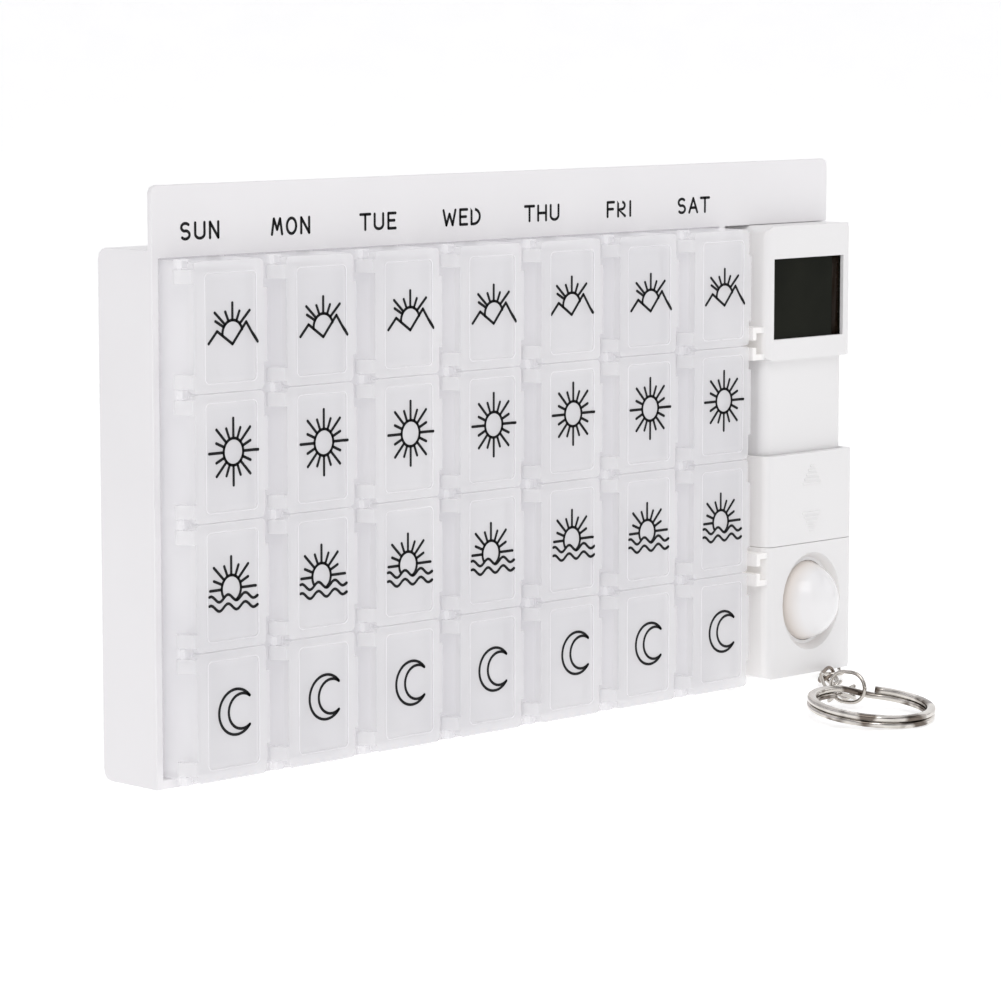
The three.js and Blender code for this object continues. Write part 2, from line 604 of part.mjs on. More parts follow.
function buildScrews() {
  const headBackY = unitBackY - screw.headSink;
  const headFrontY = headBackY - screw.headHeight;
  const tipY = cavityFrontY + screw.tipShort + clearance;
  screwPlaces().forEach((z, place) => {
    const shank = bar('y', screw.shankRadius, tipY, headFrontY + overlap, unitMiddleX, z, facets.screw);
    const head = bar('y', screw.headRadius, headFrontY, headBackY, unitMiddleX, z, facets.screw);
    const reach = screw.headRadius * screw.slotReachShare;
    const wide = block(unitMiddleX - reach, unitMiddleX + reach, headBackY - screw.slotDepth,
      headBackY + overrun, z - screw.slotWidth / 2, z + screw.slotWidth / 2);
    const tall = block(unitMiddleX - screw.slotWidth / 2, unitMiddleX + screw.slotWidth / 2,
      headBackY - screw.slotDepth, headBackY + overrun, z - reach, z + reach);
    part(place === 0 ? 'case_screw_upper' : 'case_screw_lower', cut(join(shank, head), wide, tall), steel);
  });
}

// Keys and cover
function buildDomeButton() {
  const sphere = (dome.radius ** 2 + dome.rise ** 2) / (2 * dome.rise);
  const tipY = lowerFrontY + dome.baseSink - dome.rise;
  const capAngle = Math.asin(dome.radius / sphere);
  const flangeFrontY = cavityFrontY + clearance;
  const flangeBackY = flangeFrontY + dome.flangeThickness;
  const stemEndY = boardFrontY - clearance - tact.thickness - tact.plungerRise - clearance - dome.travel;
  const points = [];
  for (let step = 0; step <= facets.domeArc; step += 1) {
    const angle = (step / facets.domeArc) * capAngle;
    points.push([sphere * Math.sin(angle), tipY + sphere * (1 - Math.cos(angle))]);
  }
  points[0][0] = 0;
  points.push([dome.radius, flangeFrontY], [dome.flangeRadius, flangeFrontY],
    [dome.flangeRadius, flangeBackY], [dome.stemRadius, flangeBackY],
    [dome.stemRadius, Math.max(stemEndY, flangeBackY + overlap)],
    [0, Math.max(stemEndY, flangeBackY + overlap)]);
  part('alarm_button', turned(points, domeX, domeZ, facets.dome, dome.ovalShare), glossWhite);
}

function buildSetButtons() {
  const names = ['mode_button', 'hour_button', 'minute_button'];
  const faceY = waistFrontY + setButton.sunk;
  const flangeFrontY = cavityFrontY + clearance;
  const flangeBackY = flangeFrontY + setButton.flangeThickness;
  setButtonPlaces().forEach((x, place) => {
    part(names[place], turned([
      [0, faceY], [setButton.radius, faceY], [setButton.radius, flangeFrontY],
      [setButton.flangeRadius, flangeFrontY], [setButton.flangeRadius, flangeBackY], [0, flangeBackY],
    ], x, setButtonZ, facets.button), buttonGrey);
  });
}

// A raised arrow head made of stacked bars that shrink towards its tip
function arrowBars(centreZ, direction) {
  const bars = [];
  const span = (cover.markBars - 1) * cover.markPitch;
  for (let step = 0; step < cover.markBars; step += 1) {
    const z = centreZ + direction * (step * cover.markPitch - span / 2);
    const half = (cover.markWidth / 2) * (1 - step / cover.markBars);
    bars.push(block(unitMiddleX - half, unitMiddleX + half, lowerFrontY - cover.markRise,
      lowerFrontY + overlap, z - cover.markBar / 2, z + cover.markBar / 2));
  }
  return bars;
}

function buildSlidingCover() {
  const foot = waistFoot + clearance;
  const top = foot + cover.height;
  const outer = slabXY(unitOutline(unitLeft, unitRight, lowerFrontY, coverLipFrontY + cover.lip,
    unit.edgeRadius), foot, top);
  const inner = block(unitLeft + cover.side, unitRight - cover.side, unitFrontY + cover.plate,
    coverLipFrontY, foot - overrun, top + overrun);
  const throat = block(unitLeft + cover.side + cover.lipReach, unitRight - cover.side - cover.lipReach,
    unitFrontY + cover.plate, coverLipFrontY + cover.lip + overrun, foot - overrun, top + overrun);
  part('sliding_cover', join(cut(outer, inner, throat),
    ...arrowBars(foot + cover.upMarkCentre, 1), ...arrowBars(foot + cover.downMarkCentre, -1)), warmShell);
}

// Wire forms: a section carried along a path. Each section is at right angles to the path.
function sweep(points, normals, section, closed) {
  const count = points.length;
  const sides = section.length;
  const positions = [];
  for (let i = 0; i < count; i += 1) {
    const before = points[closed ? (i + count - 1) % count : Math.max(i - 1, 0)];
    const after = points[closed ? (i + 1) % count : Math.min(i + 1, count - 1)];
    const tangent = new THREE.Vector3().subVectors(after, before).normalize();
    const across = new THREE.Vector3().crossVectors(normals[i], tangent).normalize();
    const up = new THREE.Vector3().crossVectors(tangent, across);
    for (const [a, b] of section) {
      const p = points[i].clone().addScaledVector(across, a).addScaledVector(up, b);
      positions.push(p.x, p.y, p.z);
    }
  }
  const index = [];
  const rings = closed ? count : count - 1;
  for (let i = 0; i < rings; i += 1) {
    const a = i * sides;
    const b = ((i + 1) % count) * sides;
    for (let k = 0; k < sides; k += 1) {
      const n = (k + 1) % sides;
      index.push(a + k, a + n, b + n, a + k, b + n, b + k);
    }
  }
  if (!closed) {
    const last = (count - 1) * sides;
    for (let k = 1; k < sides - 1; k += 1) {
      index.push(0, k + 1, k, last, last + k, last + k + 1);
    }
  }
  const geometry = new THREE.BufferGeometry();
  geometry.setAttribute('position', new THREE.BufferAttribute(new Float32Array(positions), 3));
  geometry.setIndex(index);
  return solid(geometry);
}

function roundSection(radius, sides) {
  return Array.from({ length: sides }, (_, k) => {
    const angle = ((k + 0.5) / sides) * 2 * Math.PI;
    return [radius * Math.cos(angle), radius * Math.sin(angle)];
  });
}

// A closed wire link between two hooked neighbours. It may be twisted along its length, from the
// roll at its rear end to the roll at its front end, in degrees about the line that joins the ends.
function wireLink(rear, front, width, rearRoll, frontRoll) {
  const straight = new THREE.Vector3().subVectors(front, rear);
  const flat = straight.length() / 2;
  straight.normalize();
  const level = new THREE.Vector3().crossVectors(straight, new THREE.Vector3(0, 0, 1)).normalize();
  const upright = new THREE.Vector3().crossVectors(level, straight);
  const bend = width / 2 - wire.radius;
  const middle = new THREE.Vector3().addVectors(rear, front).multiplyScalar(1 / 2);
  const points = [];
  const normals = [];
  const steps = 2 * wire.arcSteps;
  for (const end of [1, -1]) {
    for (let step = 0; step <= steps; step += 1) {
      const angle = (step / steps - 1 / 2) * Math.PI;
      const along = end * (flat - bend + bend * Math.cos(angle));
      const across = end * bend * Math.sin(angle);
      const share = (along / flat + 1) / 2;
      const roll = THREE.MathUtils.degToRad(rearRoll + (frontRoll - rearRoll) * share);
      const acrossAxis = level.clone().multiplyScalar(Math.cos(roll)).addScaledVector(upright, Math.sin(roll));
      points.push(middle.clone().addScaledVector(straight, along).addScaledVector(acrossAxis, across));
      normals.push(new THREE.Vector3().crossVectors(straight, acrossAxis));
    }
  }
  return sweep(points, normals, roundSection(wire.radius, wire.sides), true);
}

// Bail: a U of wire whose two ends turn up into sockets under the unit
function bailFrame() {
  const heading = THREE.MathUtils.degToRad(bail.heading);
  const forward = new THREE.Vector3(Math.cos(heading), Math.sin(heading), 0);
  const across = new THREE.Vector3(-forward.y, forward.x, 0);
  const right = new THREE.Vector3(unitRight - bail.fromRight, unitFrontY + bail.fromFront, bail.legZ);
  const reach = bail.width - 2 * wire.radius;
  return { forward, right, left: right.clone().addScaledVector(across, -reach), across, reach };
}

function bailSockets() {
  const { right, left } = bailFrame();
  return [right, left].map((point) => [point.x, point.y]);
}

function buildBail() {
  const { forward, right, left, across, reach } = bailFrame();
  const up = new THREE.Vector3(0, 0, 1);
  const slope = (bail.noseZ - bail.legZ) / (bail.legLength + reach / 2);
  const legs = [right, left].map((foot) => {
    const points = [foot.clone().setZ(unitFoot + bail.socketDepth)];
    const normals = [forward.clone()];
    for (let step = 0; step <= wire.arcSteps; step += 1) {
      const angle = ((step / wire.arcSteps) * Math.PI) / 2;
      points.push(foot.clone()
        .addScaledVector(forward, bail.bendRadius * (1 - Math.cos(angle)))
        .addScaledVector(up, bail.bendRadius * (1 - Math.sin(angle))));
      normals.push(forward.clone().multiplyScalar(Math.cos(angle)).addScaledVector(up, Math.sin(angle)));
    }
    return { points, normals };
  });
  const middle = right.clone().add(left).multiplyScalar(1 / 2);
  const nose = [];
  const steps = 2 * wire.arcSteps;
  for (let step = 0; step <= steps; step += 1) {
    const angle = (step / steps) * Math.PI;
    const along = bail.legLength + (reach / 2) * Math.sin(angle);
    nose.push(middle.clone()
      .addScaledVector(forward, along)
      .addScaledVector(across, (reach / 2) * Math.cos(angle))
      .addScaledVector(up, slope * along));
  }
  const points = [...legs[0].points, ...nose, ...legs[1].points.toReversed()];
  const normals = [...legs[0].normals, ...nose.map(() => up), ...legs[1].normals.toReversed()];
  part('chain_bail', sweep(points, normals, roundSection(wire.radius, wire.sides), false), nickel);
}

function buildChain() {
  const hookReach = wire.radius + clearance / 2;
  const { forward, right, left, reach } = bailFrame();
  const hooks = [right.clone().add(left).multiplyScalar(1 / 2)
    .addScaledVector(forward, bail.legLength + reach / 2 - hookReach)
    .setZ(bail.noseZ)];
  chainLink.headings.forEach((heading, link) => {
    const angle = THREE.MathUtils.degToRad(heading);
    hooks.push(hooks[link].clone()
      .add(new THREE.Vector3(Math.cos(angle), Math.sin(angle), 0).multiplyScalar(chainLink.pitch))
      .setZ(chainLink.endHeights[link]));
  });
  for (let link = 0; link < hooks.length - 1; link += 1) {
    const straight = new THREE.Vector3().subVectors(hooks[link + 1], hooks[link]).normalize();
    const rear = hooks[link].clone().addScaledVector(straight, -hookReach);
    const front = hooks[link + 1].clone().addScaledVector(straight, hookReach);
    part(`chain_link_${link + 1}`,
      wireLink(rear, front, chainLink.width, chainLink.rearRolls[link], chainLink.frontRolls[link]),
      nickel);
  }
  const heading = THREE.MathUtils.degToRad(jumpRing.heading);
  const along = new THREE.Vector3(Math.cos(heading), Math.sin(heading), 0);
  const half = along.clone().multiplyScalar(jumpRing.length / 2 - wire.radius);
  const lastAngle = THREE.MathUtils.degToRad(chainLink.headings.at(-1));
  const centre = hooks.at(-1).clone()
    .add(new THREE.Vector3(Math.cos(lastAngle), Math.sin(lastAngle), 0).multiplyScalar(-hookReach))
    .addScaledVector(along, jumpRing.hookAlong)
    .add(new THREE.Vector3(0, 0, jumpRing.hookBelow));
  part('jump_ring', wireLink(centre.clone().sub(half), centre.clone().add(half), jumpRing.height,
    90, 90), nickel);
}

// Key ring: one flat wire wound twice. It starts on the upper coil, runs clockwise, steps down
// between its own two ends and finishes on the lower coil.
const ringTilt = THREE.MathUtils.degToRad(keyRing.tilt);
const ringAxis = new THREE.Vector3(0, -Math.sin(ringTilt), Math.cos(ringTilt));
const ringHalfHeight = keyRing.wireHeight + keyRing.coilGap / 2;
const ringCentre = new THREE.Vector3(unitRight - keyRing.fromRight, unitFrontY - keyRing.fromFront,
  keyRing.restGap + ringHalfHeight * ringAxis.z - keyRing.outerRadius * ringAxis.y);
const ringPathRadius = keyRing.outerRadius - keyRing.wireWidth / 2;

function ringPoint(angle, height) {
  const across = new THREE.Vector3(1, 0, 0);
  const along = new THREE.Vector3().crossVectors(ringAxis, across);
  return ringCentre.clone()
    .addScaledVector(across, ringPathRadius * Math.cos(angle))
    .addScaledVector(along, ringPathRadius * Math.sin(angle))
    .addScaledVector(ringAxis, height);
}

function buildKeyRing() {
  const crossover = THREE.MathUtils.degToRad(keyRing.crossoverAngle);
  const total = 4 * Math.PI - crossover;
  const level = (keyRing.wireHeight + keyRing.coilGap) / 2;
  const start = THREE.MathUtils.degToRad(keyRing.endAngle);
  const steps = Math.round((total / (2 * Math.PI)) * keyRing.stepsPerTurn);
  const points = [];
  for (let step = 0; step <= steps; step += 1) {
    const wound = (step / steps) * total;
    const into = (wound - (2 * Math.PI - crossover)) / crossover;
    const share = THREE.MathUtils.smoothstep(into, 0, 1);
    points.push(ringPoint(start - wound, level * (1 - 2 * share)));
  }
  const a = keyRing.wireWidth / 2;
  const b = keyRing.wireHeight / 2;
  const c = b * keyRing.chamferShare;
  const section = [[a, -c], [a, c], [0, b], [-a, c], [-a, -c], [0, -b]];
  const gaps = points.flatMap((p, i) => points.slice(i + Math.round(steps / 4)).map((q) => p.distanceTo(q)));
  const least = Math.min(...gaps) - keyRing.wireHeight;
  console.log(`key ring: least gap between its coils ${least.toFixed(2)} mm`);
  part('key_ring', sweep(points, points.map(() => ringAxis), section, false), nickel);
}

buildTray();
for (let index = 0; index < boxCount; index += 1) {
  buildDayBox(index);
  for (let row = TIMES.length - 1; row >= 0; row -= 1) buildLid(index, row);
}
buildRearShell();
buildFrontShell();
buildDisplay();
buildBoard();
buildBattery();
buildBatteryDoor();
buildScrews();
buildDomeButton();
buildSetButtons();
buildSlidingCover();
buildBail();
buildChain();
buildKeyRing();

export default group;
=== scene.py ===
# %% [markdown]
# # A weekly pill box with a clip-on reminder unit
# The object is a white tray that stands on its long side. It holds seven frosted day boxes with four
# lidded cells each, a reminder unit with a display, a sliding cover and an alarm button, and a key ring
# on a short chain. The CAD model already has every solid in its place, so this lesson only works on how
# things look: soft moulded edges, frosted plastic, printed signs, a dark display and bright wire.

import math

import bmesh
import bpy
import numpy as np
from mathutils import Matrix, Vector


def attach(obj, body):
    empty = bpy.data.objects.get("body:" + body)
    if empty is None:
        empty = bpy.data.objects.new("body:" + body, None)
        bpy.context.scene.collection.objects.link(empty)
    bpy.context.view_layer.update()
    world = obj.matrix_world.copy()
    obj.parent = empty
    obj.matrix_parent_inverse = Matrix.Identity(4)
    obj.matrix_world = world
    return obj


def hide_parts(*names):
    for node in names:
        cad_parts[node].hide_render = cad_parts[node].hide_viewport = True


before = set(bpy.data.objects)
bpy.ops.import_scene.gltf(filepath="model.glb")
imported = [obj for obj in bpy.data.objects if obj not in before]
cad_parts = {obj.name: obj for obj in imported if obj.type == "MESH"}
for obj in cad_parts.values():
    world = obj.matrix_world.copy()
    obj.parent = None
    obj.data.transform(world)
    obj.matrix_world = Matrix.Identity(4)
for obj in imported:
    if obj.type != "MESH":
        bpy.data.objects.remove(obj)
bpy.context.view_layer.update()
MM = 0.001
DAYS = ["sunday", "monday", "tuesday", "wednesday", "thursday", "friday", "saturday"]
TIMES = ["morning", "noon", "evening", "bedtime"]
# Places of the CAD model that several cells share, in millimetres
COLUMN_PITCH, ROW_PITCH, TOP_ROW_Z = 23.0, 24.2, 87.15
PANE_LEFT, PANE_WIDTH, PANE_HEIGHT = -91.55, 12.8, 20.6
LOWEST_PANE_FOOT = TOP_ROW_Z - (len(TIMES) - 1) * ROW_PITCH - PANE_HEIGHT / 2
print("nodes loaded:", len(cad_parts))

# %% [markdown]
# ## Camera
# The photograph was taken from the left front, a little above the object, from about 80 cm away with a
# long lens. A long lens keeps the far end of the tray nearly as tall as the near end. The numbers come
# from fitting the tray's straight edges, so nothing here is guessed by eye.

# %% Camera
IMAGE_WIDTH = 1001
FOCAL_PIXELS = 4000
camera_data = bpy.data.cameras.new("camera")
camera_data.sensor_width = 36
camera_data.lens = 36 * FOCAL_PIXELS / IMAGE_WIDTH
camera_data.clip_start = 0.01
camera_data.clip_end = 20
camera = bpy.data.objects.new("camera", camera_data)
bpy.context.scene.collection.objects.link(camera)
camera.location = Vector((-577.6, -572.75, 145.2)) * MM
heading, pitch = math.radians(45.39), math.radians(6.96)
look = Vector((math.sin(heading) * math.cos(pitch), math.cos(heading) * math.cos(pitch), -math.sin(pitch)))
camera.rotation_euler = look.to_track_quat("-Z", "Y").to_euler()
bpy.context.scene.camera = camera
print("lens", round(camera_data.lens, 2), "mm")

# %% [markdown]
# ## Surfaces from numbers
# Every new piece is a grid of points: one parameter runs along the piece and the other runs round it.
# A grid is easy to reason about, because its faces follow from its size alone. The helpers below turn a
# grid of points into a mesh, and give the loops and sections that the pieces share.

# %% Grid helpers
def grid_faces(rows, columns, closed_rows=False, closed_columns=False):
    """Four-sided faces between neighbouring points of a grid, wrapped round where a side is closed."""
    i = np.arange(rows if closed_rows else rows - 1)
    j = np.arange(columns if closed_columns else columns - 1)
    a, b = np.meshgrid(i, j, indexing="ij")
    a_next, b_next = (a + 1) % rows, (b + 1) % columns
    corners = [a * columns + b, a * columns + b_next, a_next * columns + b_next, a_next * columns + b]
    return np.stack(corners, axis=-1).reshape(-1, 4)


def finish_mesh(name, points, faces, outward=True):
    """Points in millimetres and faces made into one object in metres, doubles merged, faces outwards."""
    mesh = bpy.data.meshes.new(name)
    mesh.from_pydata((np.asarray(points, float).reshape(-1, 3) * MM).tolist(), [], faces)
    if outward:
        work = bmesh.new()
        work.from_mesh(mesh)
        bmesh.ops.remove_doubles(work, verts=work.verts, dist=1e-7)
        bmesh.ops.recalc_face_normals(work, faces=work.faces)
        work.to_mesh(mesh)
        work.free()
    mesh.polygons.foreach_set("use_smooth", np.ones(len(mesh.polygons), bool))
    made = bpy.data.objects.new(name, mesh)
    bpy.context.scene.collection.objects.link(made)
    return made


def dress(piece, body, material, replaces=()):
    """Gives a piece its finish, its body and the CAD nodes that it stands for."""
    piece.data.materials.clear()
    piece.data.materials.append(material)
    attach(piece, body)
    if replaces:
        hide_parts(*replaces)
    return piece


print("grid of 3 by 4 has", len(grid_faces(3, 4)), "faces")

# %% [markdown]
# ## The table
# The photograph has a white table that melts into a white background and no hard shadow anywhere. One
# sheet that lies flat under the object and bends up far behind it gives that. Its side view is a straight,
# a quarter circle and an upright, and it is pushed out to both sides as seen from the camera.

# %% Floor
FLOOR_NEAR, FLOOR_FAR, FLOOR_SIDE = -3.0, 2.2, 5.0
BEND_RADIUS, WALL_RISE = 1.5, 3.0
flat_run = np.linspace(FLOOR_NEAR, FLOOR_FAR, 14)
bend_angle = np.linspace(0.1, np.pi / 2, 12)
sweep_run = np.concatenate([flat_run, FLOOR_FAR + BEND_RADIUS * np.sin(bend_angle)])
sweep_rise = np.concatenate([np.zeros(len(flat_run)), BEND_RADIUS * (1 - np.cos(bend_angle))])
sweep_run = np.append(sweep_run, sweep_run[-1])
sweep_rise = np.append(sweep_rise, sweep_rise[-1] + WALL_RISE)
sweep_side = np.linspace(-FLOOR_SIDE, FLOOR_SIDE, 3)
away = np.array([look.x, look.y]) / math.hypot(look.x, look.y)
floor_points = np.stack([
    away[0] * sweep_run[:, None] + away[1] * sweep_side[None, :],
    away[1] * sweep_run[:, None] - away[0] * sweep_side[None, :],
    np.repeat(sweep_rise[:, None], len(sweep_side), axis=1)], axis=-1) / MM
floor = finish_mesh("floor", floor_points, grid_faces(*floor_points.shape[:2]).tolist(), outward=False)
print("floor faces", len(floor.data.polygons))

# %% [markdown]
# ## Lights and sky
# Three large soft lights stand left, above and right. A nearly white sky fills the rest. Large grey patches
# in it give the bright wire something dark to mirror, as the things in a real room do.


# %% Lights
def soft_light(name, place, aim, size, power, colour):
    """A square area light at a place in metres, turned to an aim point."""
    data = bpy.data.lights.new(name, "AREA")
    data.size = size
    data.energy = power
    data.color = colour
    lamp = bpy.data.objects.new(name, data)
    bpy.context.scene.collection.objects.link(lamp)
    lamp.location = place
    lamp.rotation_euler = (Vector(aim) - Vector(place)).to_track_quat("-Z", "Y").to_euler()
    return lamp


soft_light("front left light", (-1.0, -1.0, 1.35), (0, 0, 0.05), 1.2, 11.2, (1.0, 0.985, 0.97))
soft_light("top light", (0.1, -0.3, 1.5), (0, 0, 0), 1.4, 3.2, (1.0, 1.0, 1.0))
soft_light("right light", (1.2, -0.8, 0.6), (0.05, 0, 0.05), 0.8, 1.6, (1.0, 0.995, 0.99))
sky = bpy.data.worlds.new("studio sky")
bpy.context.scene.world = sky
sky.use_nodes = True
sky_nodes, sky_links = sky.node_tree.nodes, sky.node_tree.links
sky_place = sky_nodes.new("ShaderNodeTexCoord")
sky_patches = sky_nodes.new("ShaderNodeTexNoise")
sky_patches.inputs["Scale"].default_value = 2.2
sky_patches.inputs["Detail"].default_value = 0.0
sky_ramp = sky_nodes.new("ShaderNodeValToRGB")
sky_ramp.color_ramp.elements[0].position = 0.40
sky_ramp.color_ramp.elements[0].color = (0.16, 0.155, 0.15, 1)
sky_ramp.color_ramp.elements[1].position = 0.50
sky_ramp.color_ramp.elements[1].color = (0.97, 0.965, 1.0, 1)
sky_links.new(sky_place.outputs["Generated"], sky_patches.inputs["Vector"])
sky_links.new(sky_patches.outputs["Fac"], sky_ramp.inputs["Fac"])
sky_links.new(sky_ramp.outputs["Color"], sky_nodes["Background"].inputs["Color"])
sky_nodes["Background"].inputs["Strength"].default_value = 0.585
bpy.context.scene.view_settings.view_transform = "Standard"
print("lights 3")

# %% [markdown]
# ## Finishes
# Moulded plastic is never one flat colour: the mould leaves a fine grain that spreads the gloss, and the
# colour drifts a little over a few centimetres. Both come from noise on Object coordinates, so the
# pattern has its real size in millimetres and stays fixed to the piece.

# %% Material helpers
def new_material(name):
    """An empty node material with its Principled shader and its Object coordinates."""
    material = bpy.data.materials.new(name)
    material.use_nodes = True
    shader = material.node_tree.nodes["Principled BSDF"]
    place = material.node_tree.nodes.new("ShaderNodeTexCoord")
    return material, shader, place.outputs["Object"]


def noise(material, place, size_mm, detail=3.0):
    """A noise texture whose patches are about size_mm across."""
    node = material.node_tree.nodes.new("ShaderNodeTexNoise")
    node.inputs["Scale"].default_value = 1 / (size_mm * MM)
    node.inputs["Detail"].default_value = detail
    material.node_tree.links.new(place, node.inputs["Vector"])
    return node.outputs["Fac"]


def ramp(material, value, start, end, first, last):
    """A value that goes evenly from first to last while the given one goes from start to end."""
    node = material.node_tree.nodes.new("ShaderNodeMapRange")
    for title, number in (("From Min", start), ("From Max", end), ("To Min", first), ("To Max", last)):
        node.inputs[title].default_value = number
    material.node_tree.links.new(value, node.inputs["Value"])
    return node.outputs["Result"]


def spread(material, value, low, high, into):
    """Stretches a noise value, from its usual 0.3 to 0.7, over low to high and feeds a socket."""
    material.node_tree.links.new(ramp(material, value, 0.3, 0.7, low, high), into)


def tone(material, value, first, second, into):
    """Fades between two colours by a noise value and feeds a colour socket."""
    node = material.node_tree.nodes.new("ShaderNodeValToRGB")
    node.color_ramp.elements[0].position = 0.35
    node.color_ramp.elements[0].color = (*first, 1)
    node.color_ramp.elements[1].position = 0.65
    node.color_ramp.elements[1].color = (*second, 1)
    material.node_tree.links.new(value, node.inputs["Fac"])
    material.node_tree.links.new(node.outputs["Color"], into)


def grain(material, shader, value, depth_mm, strength):
    """Uses a noise value as a small height on the surface."""
    node = material.node_tree.nodes.new("ShaderNodeBump")
    node.inputs["Strength"].default_value = strength
    node.inputs["Distance"].default_value = depth_mm * MM
    material.node_tree.links.new(value, node.inputs["Height"])
    material.node_tree.links.new(node.outputs["Normal"], shader.inputs["Normal"])


def moulded(name, first, second, rough, grain_mm=0.7, depth_mm=0.02):
    """Opaque moulded plastic: drifting colour, fine grain and a gloss that varies with the grain."""
    material, shader, place = new_material(name)
    fine = noise(material, place, grain_mm)
    tone(material, noise(material, place, 38, 2.0), first, second, shader.inputs["Base Color"])
    spread(material, fine, rough - 0.05, rough + 0.05, shader.inputs["Roughness"])
    grain(material, shader, fine, depth_mm, 0.25)
    shader.inputs["IOR"].default_value = 1.5
    return material


def along_axis(material, axis, start_mm, end_mm, first, last):
    """A value that goes from first to last between two places along one Object axis."""
    nodes = material.node_tree.nodes
    parts = nodes.new("ShaderNodeSeparateXYZ")
    material.node_tree.links.new(nodes["Texture Coordinate"].outputs["Object"], parts.inputs["Vector"])
    return ramp(material, parts.outputs[axis], start_mm * MM, end_mm * MM, first, last)


def shade(material, mask, colour):
    """Multiplies the base colour by another colour where the mask is 1."""
    base = material.node_tree.nodes["Principled BSDF"].inputs["Base Color"]
    node = material.node_tree.nodes.new("ShaderNodeMix")
    node.data_type = "RGBA"
    node.blend_type = "MULTIPLY"
    material.node_tree.links.new(mask, node.inputs[0])
    material.node_tree.links.new(base.links[0].from_socket, node.inputs[6])
    node.inputs[7].default_value = (*colour, 1)
    material.node_tree.links.new(node.outputs[2], base)


print("material helpers ready")

# %% [markdown]
# ## Opaque plastics, ink and the table's finish
# The tray and the unit are two slightly different whites. The unit's left side looks at the pale lids and
# gets their light back; that bounced light is painted on as a faint warm glow. The alarm button has painted
# shade, darker and warmer towards its rim, where the dish round it shades it. The ink is almost matt,
# because a printed film has hardly any gloss of its own.

# %% Plastic finishes
UNIT_SIDE_END, UNIT_SIDE_START, PAINTED_BOUNCE_LIGHT = 70.2, 68.8, 0.13
BUTTON_TIP_Y, BUTTON_RIM_Y = -17.6, -14.2
tray_white = moulded("tray white", (0.845, 0.835, 0.845), (0.865, 0.855, 0.865), 0.40)
unit_white = moulded("unit white", (0.835, 0.83, 0.83), (0.855, 0.85, 0.85), 0.36)
unit_shader = unit_white.node_tree.nodes["Principled BSDF"]
# Painted light: a warm emission on the unit's left side, fading out towards the right, stands for the light
# that the lids bounce back onto it.
unit_shader.inputs["Emission Color"].default_value = (1.0, 0.93, 0.84, 1.0)
painted_bounce_light = along_axis(unit_white, "X", UNIT_SIDE_END, UNIT_SIDE_START, 0.0, PAINTED_BOUNCE_LIGHT)
unit_white.node_tree.links.new(painted_bounce_light, unit_shader.inputs["Emission Strength"])
button_gloss = moulded("alarm button gloss", (0.87, 0.865, 0.87), (0.89, 0.885, 0.89), 0.14, 2.5, 0.01)
# Painted shade: the button's colour turns darker and warmer towards its rim, where the dish round it shades
# it.
button_rim_shade = along_axis(button_gloss, "Y", BUTTON_TIP_Y, BUTTON_RIM_Y, 0.0, 1.0)
shade(button_gloss, button_rim_shade, (0.93, 0.87, 0.81))
button_grey = moulded("set button grey", (0.44, 0.45, 0.47), (0.50, 0.50, 0.52), 0.55)
black_plastic = moulded("black plastic", (0.010, 0.010, 0.011), (0.016, 0.016, 0.017), 0.45)
board_green = moulded("board green", (0.012, 0.085, 0.030), (0.018, 0.11, 0.040), 0.42, 0.4, 0.03)
ink_black = moulded("printed ink", (0.006, 0.006, 0.007), (0.010, 0.010, 0.011), 0.5, 0.3, 0.004)
floor_white = moulded("table white", (0.75, 0.75, 0.75), (0.77, 0.77, 0.77), 0.8, 6.0, 0.01)
floor_shader = floor_white.node_tree.nodes["Principled BSDF"]
floor_shader.inputs["Emission Color"].default_value = (1.0, 1.0, 1.0, 1.0)
floor_shader.inputs["Emission Strength"].default_value = 0.50
floor.data.materials.append(floor_white)
ink_black.node_tree.nodes["Principled BSDF"].inputs["Specular IOR Level"].default_value = 0.15
print("plastic finishes ready")

# %% [markdown]
# ## Frosted polypropylene
# The boxes and lids let a part of the light pass and scatter the rest. Computing that scattering is slow,
# so the finish mixes a see-through share with a faint painted glow: an emission that stands for the
# scattered light and lifts the shade between the boxes. The pane of each lid is a little darker. Panes
# stand in a regular grid, so a mask made of stripes across and stripes up finds them all at once.


# %% Frosted finishes
def reckon(material, kind, first, second):
    """The result of one sum, where each side is a number or the output of a node."""
    node = material.node_tree.nodes.new("ShaderNodeMath")
    node.operation = kind
    for socket, item in zip(node.inputs, (first, second)):
        if isinstance(item, float):
            socket.default_value = item
        else:
            material.node_tree.links.new(item, socket)
    return node.outputs[0]


def stripes(material, value, start_mm, pitch_mm, length_mm, soft_mm):
    """A mask that is 1 over length_mm of every pitch_mm along a coordinate, with soft ends."""
    far_start = (start_mm - 20 * pitch_mm) * MM
    along = reckon(material, "MODULO", reckon(material, "SUBTRACT", value, far_start), pitch_mm * MM)
    rising = ramp(material, along, 0.0, soft_mm * MM, 0.0, 1.0)
    falling = ramp(material, along, (length_mm - soft_mm) * MM, length_mm * MM, 1.0, 0.0)
    return reckon(material, "MULTIPLY", rising, falling)


